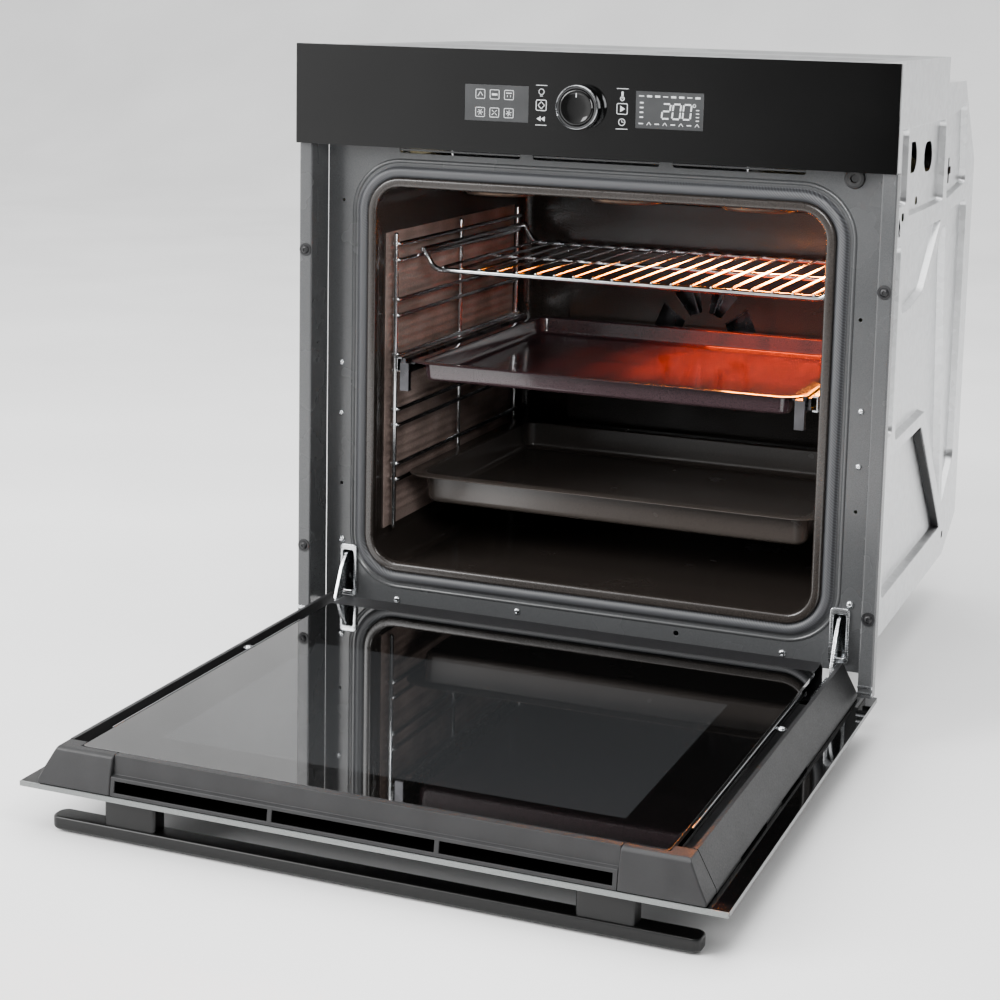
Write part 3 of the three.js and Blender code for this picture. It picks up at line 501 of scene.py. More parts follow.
def sweep(bm, points, radius, around=12, closed=False):
    points = [Vector(point) for point in points]
    count = len(points)
    ahead = [(points[(i + 1) % count] - points[i - 1]) if closed or 0 < i < count - 1 else
             (points[1] - points[0] if i == 0 else points[-1] - points[-2]) for i in range(count)]
    normal = ahead[0].orthogonal().normalized()
    rings = []
    for i, point in enumerate(points):
        tangent = ahead[i].normalized()
        normal = (normal - tangent * normal.dot(tangent)).normalized()
        side = tangent.cross(normal)
        rings.append([point + (normal * math.cos(t) + side * math.sin(t)) * radius
                      for t in (2 * math.pi * k / around for k in range(around))])
    if closed:
        loft(bm, rings, closeRound=True)
        return
    for end, sign in ((0, -1), (-1, 1)):
        tangent = ahead[end].normalized() * sign
        centre = points[end]
        domes = [[point + tangent * radius * rise + (centre - point) * (1 - grow) for point in rings[end]]
                 for rise, grow in ((0.38, 0.92), (0.7, 0.7), (0.92, 0.38))]
        rings = domes[::-1] + rings if end == 0 else rings + domes
    loft(bm, rings, capStart=True, capEnd=True)


def lathe(bm, profile, centre, axis="y", around=40):
    # profile of (radius, height), with the height along the axis
    spin = {"x": lambda r, h, t: Vector((h, r * math.cos(t), r * math.sin(t))),
            "y": lambda r, h, t: Vector((r * math.cos(t), h, r * math.sin(t))),
            "z": lambda r, h, t: Vector((r * math.cos(t), r * math.sin(t), h))}[axis]
    rows = [[bm.verts.new(Vector(centre) + spin(radius, height, 2 * math.pi * i / around))
             for i in range(around)] for radius, height in profile]
    for first, second in zip(rows, rows[1:]):
        for i in range(around):
            bm.faces.new((first[i - 1], first[i], second[i], second[i - 1]))
    bmesh.ops.remove_doubles(bm, verts=bm.verts, dist=1e-7)
    bmesh.ops.dissolve_degenerate(bm, edges=bm.edges, dist=1e-8)


def turned(name, profile, centre, body, slot, replaces, sharp=35, finish=None, around=40):
    bm = bmesh.new()
    lathe(bm, profile, centre, "y", around)
    finishPiece(name, bm, body, slot, replaces, sharp, finish)


def smoothStep(value):
    value = min(max(value, 0.0), 1.0)
    return value * value * (3 - 2 * value)


def distanceToSegment(p, a, b):
    ab, ap = (b[0] - a[0], b[1] - a[1]), (p[0] - a[0], p[1] - a[1])
    t = min(max((ab[0] * ap[0] + ab[1] * ap[1]) / (ab[0] ** 2 + ab[1] ** 2), 0), 1)
    return math.hypot(ap[0] - ab[0] * t, ap[1] - ab[1] * t)


# Chassis
originDepth = 265.0
sidePanel = {
    "thickness": 1.0, "corner": 9.0,
    # pressed pockets: how deep, then corners as depth from the front and height
    "pockets": [
        (7.0, [(190, 500), (374, 500), (374, 412), (190, 412)]),
        (7.0, [(180, 394), (374, 394), (286, 326), (216, 317), (180, 317)]),
        (8.0, [(180, 304), (214, 304), (302, 313), (384, 386), (400, 386), (448, 72), (338, 192),
               (180, 190)]),
        (9.0, [(150, 177), (322, 180), (464, 36), (150, 36)]),
        (7.0, [(392, 500), (497, 512), (508, 422), (392, 412)]),
        (7.0, [(414, 400), (524, 404), (524, 106), (466, 60)]),
        (6.0, [(138, 500), (178, 500), (178, 424), (138, 424)]),
        (6.0, [(138, 388), (166, 388), (166, 200), (138, 200)]),
        (5.0, [(62, 500), (118, 500), (118, 64), (62, 64)]),
    ],
    "holes": [(257, 417.5, 269, 426), (158, 410, 170, 418), (150, 404, 154, 408), (474, 20, 484, 28)],
    # painted shade: a dark strip against the rear wall of the lower pocket, standing for the shaded gap there
    "strip": ((319.0, 178.0), (459.0, 38.0)), "shadeStripWidth": (5.0, 2.2), "shadeStripDepth": (8.6, 0.4),
}


def boundaryLoops(node, outer):
    # outlines of a panel's outer face as (depth, height), the longest first
    bm = bmesh.new()
    bm.from_mesh(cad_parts[node].data)
    bmesh.ops.remove_doubles(bm, verts=bm.verts, dist=1e-5)
    kept = {face for face in bm.faces if all(abs(vert.co.x - outer) < 0.05 * mm for vert in face.verts)}
    ways = {}
    for edge in bm.edges:
        if len([face for face in edge.link_faces if face in kept]) == 1:
            a, b = edge.verts
            ways.setdefault(a, []).append(b)
            ways.setdefault(b, []).append(a)
    loops = []
    while ways:
        start = next(iter(ways))
        loop, before, here = [], None, start
        while True:
            loop.append((here.co.y, here.co.z))
            following = [vert for vert in ways[here] if vert is not before]
            before, here = here, following[0]
            ways.pop(before)
            if here is start or here not in ways:
                break
        loops.append(loop)
    bm.free()
    return sorted(loops, key=lambda loop: -abs(signedArea(loop)))


def signedArea(loop):
    return sum(a[0] * b[1] - b[0] * a[1] for a, b in zip(loop, loop[1:] + loop[:1])) / 2


def insetLoop(loop, inset):
    if signedArea(loop) < 0:
        loop = loop[::-1]
    moved = []
    for before, here, after in zip(loop[-1:] + loop[:-1], loop, loop[1:] + loop[:1]):
        a = (Vector(here) - Vector(before)).normalized()
        b = (Vector(after) - Vector(here)).normalized()
        first, second = Vector((-a.y, a.x)), Vector((-b.y, b.x))
        shift = (first + second) / (1 + first.dot(second)) * inset
        moved.append((here[0] + shift.x, here[1] + shift.y))
    return moved


def roundedPolygon(points, radius, steps=4):
    middle = ((points[0][0] + points[-1][0]) / 2, (points[0][1] + points[-1][1]) / 2)
    route = roundRoute([middle, *points, middle], radius, steps)
    return [tuple(point) for point in route[:-1]]


def insidePolygon(point, outline):
    inside = False
    for a, b in zip(outline, outline[1:] + outline[:1]):
        if (a[1] > point[1]) != (b[1] > point[1]):
            if point[0] < (b[0] - a[0]) * (point[1] - a[1]) / (b[1] - a[1]) + a[0]:
                inside = not inside
    return inside


def addSidePanels():
    pockets = []
    for deep, points in sidePanel["pockets"]:
        outline = roundedPolygon(points, sidePanel["corner"])
        pockets.append((deep, inMillimetres((u - originDepth, v) for u, v in outline)))
    drilled = [inMillimetres(roundedLoop(a - originDepth, b, c - originDepth, d, 2.5, 3))
               for a, b, c, d in sidePanel["holes"]]
    for label, side in sides:
        node = f"side_panel_{label}"
        low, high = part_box(node)
        outer = high.x if side > 0 else low.x
        loops = boundaryLoops(node, outer)
        holes = loops[1:] + drilled
        bm = bmesh.new()
        for deep, outline in pockets:
            within = [hole for hole in holes if insidePolygon(hole[0], outline)]
            holes = [hole for hole in holes if hole not in within]
            rows = [(0, 0), (0.4, 0.1), (1.0, 0.7), (2.4, deep - 0.8), (3.0, deep - 0.15), (3.8, deep)]
            rings = [insetLoop(outline, inset * mm) for inset, _ in rows]
            loft(bm, [[onX(u, v, outer - side * sunk * mm) for u, v in ring]
                      for ring, (_, sunk) in zip(rings, rows)])
            fillFlat(bm, [rings[-1]] + within, onX, outer - side * deep * mm)
        openings = [insetLoop(outline, 0) for _, outline in pockets]
        fillFlat(bm, [loops[0]] + holes + openings, onX, outer)
        piece = finishPiece(node + "_skin", bm, "oven", "galvanised", (node,), 70)
        facing = sum(face.normal.x * face.area for face in piece.data.polygons)
        if facing * side < 0:
            piece.data.flip_normals()
        thicken(piece, sidePanel["thickness"] * mm, -1.0)
        # lays the dark strip of painted shade in the lower pocket
        addGapShadeStrip(label, side, outer)
    print("side panels built")


# a dark strip in moulded-rubber finish, painted shade for the gap along the rear wall of the lower pocket
def addGapShadeStrip(label, side, outer):
    (u0, v0), (u1, v1) = sidePanel["strip"]
    along = Vector((u1 - u0, v1 - v0)).normalized()
    across = Vector((along.y, -along.x))
    wide, narrow = sidePanel["shadeStripWidth"]
    start, end = Vector((u0, v0)), Vector((u1, v1))
    corners = [start, end, end + across * narrow, start + across * wide]
    outline = inMillimetres((p.x - originDepth, p.y) for p in corners)
    foot, face = (outer - side * depth * mm for depth in sidePanel["shadeStripDepth"])
    softened(f"gap_shade_strip_{label}", [outline], onX, foot, face, 0.5 * mm, "oven", "bumper_rubber")


coverPlan = {
    "step": 6.0, "thickness": 1.0, "skin": 0.6, "roofBorder": 24.0, "roofRecess": 2.6,
    # the back slopes at its head and foot; its two pressings carry a raised cross
    "slopeHead": 80.0, "slopeFall": 91.0, "footTop": 32.0, "footReach": 75.0,
    "rearBorder": 30.0, "rearTop": 240.0, "rearFoot": 95.0, "rearRecess": 3.2,
    "crossRise": 2.6, "crossHalf": 5.0,
}


def profileSamples(points, step):
    samples = []
    for a, b in zip(points, points[1:]):
        a, b = Vector(a), Vector(b)
        count = max(int((b - a).length / step), 1)
        samples += [a.lerp(b, i / count) for i in range(count)]
    return samples + [Vector(points[-1])]


def addSheetCover(node, profile, lift, inward, finish=None):
    # profile runs over depth and height in metres; lift(x, run, length) gives the relief in millimetres
    low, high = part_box(node)
    samples = profileSamples(profile, coverPlan["step"] * mm)
    runs = [0.0]
    for a, b in zip(samples, samples[1:]):
        runs.append(runs[-1] + (b - a).length)
    columns = int((high.x - low.x) / (coverPlan["step"] * mm))
    bm = bmesh.new()
    rows = []
    for i, point in enumerate(samples):
        along = (samples[min(i + 1, len(samples) - 1)] - samples[max(i - 1, 0)]).normalized()
        normal = Vector((-along.y, along.x)) * inward
        row = []
        for j in range(columns + 1):
            x = low.x + (high.x - low.x) * j / columns
            spot = point + normal * lift(x / mm, runs[i] / mm, runs[-1] / mm) * mm
            row.append(bm.verts.new((x, spot.x, spot.y)))
        rows.append(row)
    for first, second in zip(rows, rows[1:]):
        for j in range(columns):
            bm.faces.new((first[j], first[j + 1], second[j + 1], second[j]))
    piece = finishPiece(node + "_skin", bm, "oven", "galvanised", (node,), 50, finish)
    thicken(piece, coverPlan["thickness"] * mm, 0.0)


def addTopCover():
    low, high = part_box("top_cover")
    half, skin = high.x / mm, coverPlan["skin"] * mm

    def roofLift(x, run, length):
        flat = length - (high.z - low.z) / mm
        if run > flat:
            return 0.0
        value, border = 0.0, coverPlan["roofBorder"]
        for start, end in ((26, flat * 0.46), (flat * 0.54, flat - 26)):
            for left, right in ((-half + border, -14), (14, half - border)):
                edge = min(x - left, right - x, run - start, end - run)
                value = min(value, -coverPlan["roofRecess"] * smoothStep(edge / 8))
        return value

    profile = [(low.y, high.z - skin), (high.y, high.z - skin), (high.y, low.z)]
    addSheetCover("top_cover", profile, roofLift, 1, "dull_zinc")


def addRearCover():
    low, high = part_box("rear_cover")
    half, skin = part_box("top_cover")[1].x / mm, coverPlan["skin"] * mm
    profile = [(low.y, high.z - skin), (high.y - coverPlan["slopeHead"] * mm, high.z - skin),
               (high.y - skin, high.z - coverPlan["slopeFall"] * mm),
               (high.y - skin, coverPlan["footTop"] * mm),
               (high.y - coverPlan["footReach"] * mm, skin)]

    def rearLift(x, run, length):
        value, deep = 0.0, coverPlan["rearRecess"]
        top, foot, border = coverPlan["rearTop"], length - coverPlan["rearFoot"], coverPlan["rearBorder"]
        for left, right in ((-half + border, -20), (20, half - border)):
            edge = min(x - left, right - x, run - top, foot - run)
            value = min(value, -deep * smoothStep(edge / 9))
            cross = min(distanceToSegment((x, run), (left + 22, top + 22), (right - 22, foot - 22)),
                        distanceToSegment((x, run), (right - 22, top + 22), (left + 22, foot - 22)))
            if edge > 12:
                ridge = 1 - smoothStep((cross - coverPlan["crossHalf"]) / 5)
                value = max(value, -deep + coverPlan["crossRise"] * ridge)
        return value

    addSheetCover("rear_cover", profile, rearLift, 1)
    reworked("base_panel", "oven", "galvanised", 0.3 * mm)
    addLouvres(high)
    print("covers built")


louvre = {"length": 46.0, "rise": 3.4, "first": 26.0, "pitch": 14.0, "rows": 4, "columns": 6, "gap": 66.0}


def addLouvres(rearHigh):
    # pressed air louvres on the sloping part of the back
    bm = bmesh.new()
    down = Vector((0, coverPlan["slopeHead"], -coverPlan["slopeFall"])).normalized()
    out = Vector((0, coverPlan["slopeFall"], coverPlan["slopeHead"])).normalized()
    head = Vector((0, rearHigh.y - coverPlan["slopeHead"] * mm, rearHigh.z))
    for row in range(louvre["rows"]):
        for column in range(louvre["columns"]):
            x = (column - (louvre["columns"] - 1) / 2) * louvre["gap"]
            start = head + down * (louvre["first"] + row * louvre["pitch"]) * mm
            rings = []
            for step in range(9):
                t = -1 + 2 * step / 8
                rise = louvre["rise"] * math.sqrt(max(1 - t * t, 0.0)) + 0.05
                base = start + Vector(((x + t * louvre["length"] / 2) * mm, 0, 0))
                section = ((0, 0), (0.5, 3.4), (1, 8), (0, 8.4))
                rings.append([base + out * rise * share * mm + down * along * mm for share, along in section])
            loft(bm, rings, capStart=True, capEnd=True)
    finishPiece("rear_louvres", bm, "oven", "galvanised")


# Front frame, columns, screws
frontPlan = {
    "mouthGrow": -4.7, "edge": 0.5,
    "outlets": (-141, 0, 141), "outletHalf": 64.0, "outletHeights": (460.0, 466.0), "outletRound": 2.4,
    "slatHalf": 65.5, "slatHeights": (462.2, 464.0), "slatDepths": (-221.4, -220.4),
    "hingeMiddle": 256.25, "hingeHalf": 6.25, "hingeHeights": (8.0, 52.0), "hingeRound": 3.0,
    "beadGrow": (15.5, 20.0), "beadRise": 1.5,
    "holes": [(96, 10, 2.6), (-266, 120, 1.6), (266, 150, 1.6), (-266, 410, 1.6), (262, 330, 1.8)],
}
cavityPlan = {"half": 236.0, "floor": 36.5, "roof": 434.5, "corner": 34.0}


def mouthLoop(grow, steps=10):
    c = cavityPlan
    return inMillimetres(roundedLoop(-c["half"] - grow, c["floor"] - grow, c["half"] + grow, c["roof"] + grow,
                                     c["corner"] + grow, steps))


def addFrontFrame():
    low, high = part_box("front_frame")
    outlines = [roundedLoop(low.x, low.z, high.x, high.z, 1 * mm, 2), mouthLoop(frontPlan["mouthGrow"])]
    half, (foot, head) = frontPlan["outletHalf"], frontPlan["outletHeights"]
    for middle in frontPlan["outlets"]:
        outlines.append(inMillimetres(roundedLoop(middle - half, foot, middle + half, head,
                                                  frontPlan["outletRound"], 4)))
    half, (foot, head) = frontPlan["hingeHalf"], frontPlan["hingeHeights"]
    for _, side in sides:
        middle = side * frontPlan["hingeMiddle"]
        outlines.append(inMillimetres(roundedLoop(middle - half, foot, middle + half, head,
                                                  frontPlan["hingeRound"], 4)))
    for u, v, radius in frontPlan["holes"]:
        outlines.append(circleLoop(u * mm, v * mm, radius * mm, 16))
    softened("front_frame_skin", outlines, onY, low.y, high.y, frontPlan["edge"] * mm, "oven", "enamel",
             ("front_frame",))
    # rolled bead that stiffens the plate round its mouth
    inner, outer = frontPlan["beadGrow"]
    rings = []
    for step in range(9):
        t = step / 8
        face = low.y - (frontPlan["beadRise"] * math.sin(math.pi * t) - 0.1) * mm
        rings.append([onY(u, v, face) for u, v in mouthLoop(inner + (outer - inner) * t, 12)])
    for grow in (outer, inner):
        rings.append([onY(u, v, low.y + 0.6 * mm) for u, v in mouthLoop(grow, 12)])
    bm = bmesh.new()
    loft(bm, rings, closeRound=True)
    finishPiece("front_frame_bead", bm, "oven", "enamel", sharp=60)
    half, (foot, head) = frontPlan["slatHalf"], frontPlan["slatHeights"]
    front, rear = (depth * mm for depth in frontPlan["slatDepths"])
    for number, middle in enumerate(frontPlan["outlets"]):
        slat = inMillimetres(roundedLoop(middle - half, foot, middle + half, head, 0.6, 3))
        softened(f"outlet_slat_{number}", [slat], onY, front, rear, 0.2 * mm, "oven", "enamel")
    print("front frame built")


def sheetLoop(points, thickness, bend):
    route = roundRoute([(u, v, 0) for u, v in points], bend, 5)
    inner = []
    for i, point in enumerate(route):
        before = route[max(i - 1, 0)]
        after = route[min(i + 1, len(route) - 1)]
        along = (after - before).normalized()
        inner.append(point + Vector((-along.y, along.x, 0)) * thickness)
    return [(p.x, p.y) for p in route + inner[::-1]]


columnPlan = {
    "bend": 2.0, "thickness": 1.2, "seat": 14.0, "lip": 11.0,
    # marks pressed in the step wall: height from and to, in millimetres
    "lances": [(205, 216), (266, 270), (322, 334), (356, 372), (388, 424), (446, 484)],
    "lanceHalf": 2.2, "clips": (-12.5, -6.5), "clipHeight": 3.2,
}


def addColumns():
    for label, side in sides:
        node = f"column_trim_{label}"
        low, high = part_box(node)
        inner, outer = (low.x, high.x) if side > 0 else (-high.x, -low.x)
        front, rear = low.y, high.y
        seat = front + columnPlan["seat"] * mm
        points = [(inner, rear), (inner, front), (outer, front), (outer, seat),
                  (outer - columnPlan["lip"] * mm, seat)]
        sheet = sheetLoop(points, columnPlan["thickness"] * mm, columnPlan["bend"] * mm)
        loop = [(u * side, v) for u, v in sheet]
        softened(node + "_skin", [loop], onZ, low.z, high.z, 0.15 * mm, "oven", "enamel", (node,))
        bm = bmesh.new()
        for start, end in columnPlan["lances"]:
            half = columnPlan["lanceHalf"] * mm
            loop = roundedLoop(seat - half, start * mm, seat + half, end * mm, 2 * mm, 5)
            addPlate(bm, [loop], onX, side * (inner - 0.7 * mm), side * (inner + 0.2 * mm))
        soften(bm, 0.3 * mm)
        finishPiece(f"column_lances_{label}", bm, "oven", "enamel")
        bm = bmesh.new()
        for height in columnPlan["clips"]:
            loop = roundedLoop(inner, height * mm, outer, (height + columnPlan["clipHeight"]) * mm, 1 * mm, 3)
            addPlate(bm, [[(u * side, v) for u, v in loop]], onY, front - 0.6 * mm, front + 0.4 * mm)
        soften(bm, 0.3 * mm)
        finishPiece(f"column_foot_clip_{label}", bm, "oven", "zinc")
    print("columns built")


def addScrew(bm, centre, radius, axis="y", facing=-1):
    # pan head with its drive recess; each pair is a share of the radius and of the rise
    section = ((0, 0.6), (0.36, 0.6), (0.4, 0.98), (0.62, 0.93), (0.86, 0.6), (1, 0.15), (1, 0), (0, 0))
    rise = facing * radius * 0.55
    lathe(bm, [(radius * share, rise * height) for share, height in section], centre, axis, 20)


screwPlan = {
    # x, height and radius; the cabinet screws are black and hold the oven in its niche
    "cabinetDepth": -258.6,
    "cabinet": [(-290, 362, 4.2), (290, 362, 4.2), (-290, 60, 4.2), (290, 60, 4.2)],
    "frameDepth": -223.1,
    "frame": [(-202, 5, 3.6), (202, 5, 3.6), (-70, 10, 3.4), (265, 61, 3.8), (266.7, 245, 3.0),
              (266.8, 193, 3.0), (-265, 61, 3.8), (-266.7, 245, 3.0), (-266.8, 193, 3.0)],
}


def addScrews():
    washer = ((1, 0.1), (1.55, 0.1), (1.5, -0.7), (1, -0.8), (1, 0.1))
    for kind, slot in (("cabinet", "screw_black"), ("frame", "zinc")):
        bm = bmesh.new()
        for x, z, radius in screwPlan[kind]:
            seat = (x * mm, screwPlan[kind + "Depth"] * mm, z * mm)
            addScrew(bm, seat, radius * mm)
            if kind == "cabinet":
                lathe(bm, [(radius * share * mm, y * mm) for share, y in washer], seat, "y", 24)
        finishPiece(kind + "_screws", bm, "oven", slot)


def addBumper():
    low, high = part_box("door_bumper")
    middle = (low + high) / 2
    radius, deep = (high.x - low.x) / 2, high.y - low.y
    section = ((0, -0.15), (0.35, -0.2), (0.42, -0.85), (0.7, -1), (0.92, -0.85), (1, -0.5), (1, 0), (0, 0))
    turned("door_bumper_skin", [(radius * share, deep * y) for share, y in section],
           (middle.x, high.y, middle.z), "oven", "bumper_rubber", ("door_bumper",))
    print("screws and bumper built")


# Cavity
linerPlan = {"lipFront": -227.5, "lipBack": -223.3, "neck": -219.4, "backRound": 14.0, "wall": 1.2}
gasket = [(0.6, -223.4), (13.0, -223.4), (13.2, -224.3), (11.9, -224.7), (11.3, -226.3), (9.6, -227.7),
          (7.2, -228.2), (4.8, -227.8), (2.9, -226.6), (1.6, -225.0)]


def addCavity():
    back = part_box("cavity_liner")[1].y / mm - 2
    lip, neck, bend = linerPlan["lipFront"], linerPlan["neck"], linerPlan["backRound"]
    # each step is how far the mouth grows, then the depth: lip, neck, straight wall, round into the back
    path = [(0.0, linerPlan["lipBack"]), (0.0, lip + 1.2), (-0.5, lip + 0.3), (-1.4, lip), (-5.6, lip),
            (-6.6, lip + 0.4), (-7.0, lip + 1.4), (-7.0, neck - 2), (-6.4, neck), (-3.0, neck + 4),
            (-0.6, neck + 8), (0.0, neck + 14)]
    path += [(0.0, neck + 14 + (back - bend - neck - 14) * step / 11) for step in range(1, 12)]
    path += [(-bend * (1 - math.cos(turn)), back - bend * (1 - math.sin(turn))) for turn in quarterTurns(6)]
    bm = bmesh.new()
    loft(bm, [[onY(u, v, y * mm) for u, v in mouthLoop(grow)] for grow, y in path], capEnd=True)
    piece = finishPiece("cavity_liner_skin", bm, "oven", "enamel", ("cavity_liner",), 50, "cavity")
    thicken(piece, linerPlan["wall"] * mm, 1.0)
    bm = bmesh.new()
    loft(bm, [[onY(u, v, y * mm) for u, v in mouthLoop(grow, 12)] for grow, y in gasket], closeRound=True)
    finishPiece("cavity_seal_skin", bm, "oven", "seal_rubber", ("cavity_seal",), 60)
    print("cavity built")


catalyticPlan = {"pitch": 9.6, "depth": 1.3, "sheet": 0.7, "border": 9.0, "lip": 6.0, "step": 1.2}


def addCatalyticPanels():
    for label, side in sides:
        node = f"catalytic_panel_{label}"
        low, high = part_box(node)
        outer = (high.x if side > 0 else -low.x) + 0.4 * mm
        flat, rear = outer - 0.2 * mm, outer + catalyticPlan["sheet"] * mm
        front, back, lip = low.y, high.y, catalyticPlan["lip"] * mm
        count = int((high.z - low.z) / (catalyticPlan["step"] * mm))
        bm = bmesh.new()
        rings = []
        for i in range(count + 1):
            z = low.z + (high.z - low.z) * i / count
            edge = min(z - low.z, high.z - z) / mm
            wave = 0.5 - 0.5 * math.cos(2 * math.pi * (z - low.z) / (catalyticPlan["pitch"] * mm))
            lift = catalyticPlan["depth"] * wave * smoothStep((edge - catalyticPlan["border"]) / 4)
            x = outer - lift * mm
            ring = [(rear, front), (flat, front), (flat, front + lip), (x, front + lip + 3 * mm),
                    (x, back - 3 * mm), (flat, back), (rear, back)]
            rings.append([Vector((u * side, v, z)) for u, v in ring])
        loft(bm, rings, capStart=True, capEnd=True)
        finishPiece(node + "_skin", bm, "oven", "catalytic", (node,), 50)


# Wire racks, shelf and runners
rackPlan = {"upright": 225.5, "rung": 222.0, "first": 120.0, "levels": 5, "step": 57.0, "pair": 16.5,
            "wire": 2.5, "low": 68.5, "high": 375.5, "front": -185.0, "middle": -22.5, "rear": 140.0}


def addRacks():
    r = rackPlan
    for label, side in sides:
        bm = bmesh.new()
        x, hooked = side * r["upright"] * mm, side * (r["upright"] + 1.8) * mm
        for depth in (r["front"], r["middle"], r["rear"]):
            ends = [(x, depth * mm, height * mm) for height in (r["low"] + 2, r["high"] - 2)]
            sweep(bm, ends, r["wire"] * mm)
        x, front, rear = side * r["rung"] * mm, r["front"], r["rear"]
        for level in range(r["levels"]):
            for above in (0, r["pair"]):
                height = (r["first"] + r["step"] * level + above) * mm
                corners = ((hooked, front), (x, front + 1), (x, rear + 1), (hooked, rear + 3))
                route = roundRoute([(u, v * mm, height) for u, v in corners], 4 * mm, 5)
                sweep(bm, route, (r["wire"] - 0.1) * mm)
        finishPiece(f"side_rack_{label}_skin", bm, "oven", "chrome_wire", (f"side_rack_{label}",), 60)
    print("side racks built")


shelfPlan = {"wire": 3.0, "bar": 1.65, "bars": 20, "brace": 2.4, "drop": 20.0, "inset": 13.0,
             "railReach": 219.4}


def addShelf():
    low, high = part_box("wire_shelf")
    wire = shelfPlan["wire"] * mm
    rail = min(high.x - 2.6 * mm, shelfPlan["railReach"] * mm)
    top = high.z - wire
    deck, deckLine = top - shelfPlan["drop"] * mm, rail - shelfPlan["inset"] * mm
    near, far = low.y + 3 * mm, high.y - 3 * mm
    middle, brace = (near + far) / 2, deck - 0.2 * mm
    bm = bmesh.new()
    for _, side in sides:
        sweep(bm, [(side * rail, near, top), (side * rail, far, top)], wire)
    for depth in (near, far):
        end = rail - 1.6 * mm
        route = roundRoute([(-end, depth, top), (-deckLine, depth, deck), (deckLine, depth, deck),
                            (end, depth, top)], 9 * mm, 7)
        sweep(bm, route, wire)
    for bar in range(shelfPlan["bars"]):
        x = deckLine * (2 * (bar + 0.5) / shelfPlan["bars"] - 1)
        ends = [(x, depth, deck + wire) for depth in (near - 1 * mm, far + 1 * mm)]
        sweep(bm, ends, shelfPlan["bar"] * mm, 10)
    sweep(bm, [(-deckLine, middle, brace), (deckLine, middle, brace)], shelfPlan["brace"] * mm, 10)
    finishPiece("wire_shelf_skin", bm, "shelf", "chrome_wire", ("wire_shelf",), 60)
    print("shelf built")


trayPlans = {
    "baking_tray": {"body": "tray", "slot": "tray_enamel", "rim": 11.0, "corner": 24.0, "sheet": 0.9,
                    "draft": 3.0, "bend": 5.0, "brow": 2.2},
    "drip_pan": {"body": "pan", "slot": "pan_enamel", "rim": 16.0, "corner": 30.0, "sheet": 1.1,
                 "draft": 4.0, "bend": 7.0, "brow": 2.2},
}


def addTray(node):
    plan = trayPlans[node]
    low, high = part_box(node)
    top, foot, sheet = high.z / mm, low.z / mm, plan["sheet"]
    rim, bend = plan["rim"], plan["bend"]

    def ring(inset, height):
        loop = roundedLoop(low.x / mm + inset, low.y / mm + inset, high.x / mm - inset, high.y / mm - inset,
                           max(plan["corner"] - inset * 0.9, 5), 10)
        return [Vector((u * mm, v * mm, height * mm)) for u, v in loop]

    def wall(grow, floor):
        # from the rim's inner edge down to the floor; grow is the sheet's thickness to the outer face
        start, head, brow = rim + grow, top - (sheet if grow else 0), plan["brow"]
        rows = [(start, head)]
        rows += [(start + brow * math.sin(turn), head - brow * (1 - math.cos(turn)))
                 for turn in quarterTurns(4)]
        foothold = rows[-1][0] + plan["draft"] * 0.6
        rows.append((foothold, floor + bend))
        rows += [(foothold + bend * (1 - math.cos(turn)), floor + bend - bend * math.sin(turn))
                 for turn in quarterTurns(6)]
        return rows

    inner = wall(0, foot + sheet)
    outer = wall(-sheet, foot)
    rows = inner[::-1] + [(rim * 0.5, top), (0.9, top), (0.25, top - sheet * 0.25), (0.05, top - sheet * 0.5),
                          (0.3, top - sheet * 0.85), (0.9, top - sheet), (rim * 0.5, top - sheet)] + outer
    bm = bmesh.new()
    loft(bm, [ring(inset, height) for inset, height in rows], capStart=True, capEnd=True)
    finishPiece(node + "_skin", bm, plan["body"], plan["slot"], (node,), 60)


runnerPlan = {"balls": 9, "first": 24.0, "pitch": 9.0, "radius": 2.1}


def addRunners():
    radius = runnerPlan["radius"] * mm
    dome = ((0, -0.25), (1.6 / 2.1, -0.2), (1, 0), (1.6 / 2.1, 0.2), (0, 0.25))
    for label, side in sides:
        reworked(f"runner_rail_{label}", "oven", "zinc", 0.5 * mm)
        reworked(f"runner_middle_{label}", "runner_middles", "runner_steel", 0.5 * mm)
        reworked(f"runner_slider_{label}", "tray", "runner_steel", 0.45 * mm)
        # ball cage seen between the rails
        low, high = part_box(f"runner_middle_{label}")
        bm = bmesh.new()
        middle = (low.z + high.z) / 2
        inner = high.x if side < 0 else low.x
        for ball in range(runnerPlan["balls"]):
            y = low.y + (runnerPlan["first"] + ball * runnerPlan["pitch"]) * mm
            lathe(bm, [(radius * share, rise * mm) for share, rise in dome], (inner, y, middle), "x", 14)
        finishPiece(f"runner_balls_{label}", bm, "runner_middles", "zinc")
    print("trays and runners built")


# Heating, fan and lamp
grillPlan = {"runs": 6, "width": 340.0, "near": -155.0, "far": 101.0, "tails": 170.0, "wire": 3.2,
             "clips": (-120, 60), "clipHalf": 180.0, "clipRise": 4.6}


def addGrill():
    low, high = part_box("grill_element")
    height = (low.z + high.z) / 2
    near, far, runs = grillPlan["near"], grillPlan["far"], grillPlan["runs"]
    step = grillPlan["width"] / (runs - 1)
    points = []
    for run in range(runs):
        x = step * run - grillPlan["width"] / 2
        first, last = (near, far) if run % 2 else (far, near)
        if run == 0:
            first = grillPlan["tails"]
        if run == runs - 1:
            last = grillPlan["tails"]
        points += [(x * mm, first * mm, height), (x * mm, last * mm, height)]
    bm = bmesh.new()
    sweep(bm, roundRoute(points, step / 2 * mm, 8), grillPlan["wire"] * mm, 14)
    half, rise = grillPlan["clipHalf"] * mm, height + grillPlan["clipRise"] * mm
    for depth in grillPlan["clips"]:
        sweep(bm, [(-half, depth * mm, rise), (half, depth * mm, rise)], 1.2 * mm, 8)
    finishPiece("grill_element_skin", bm, "oven", "heater_steel", ("grill_element",), 60)


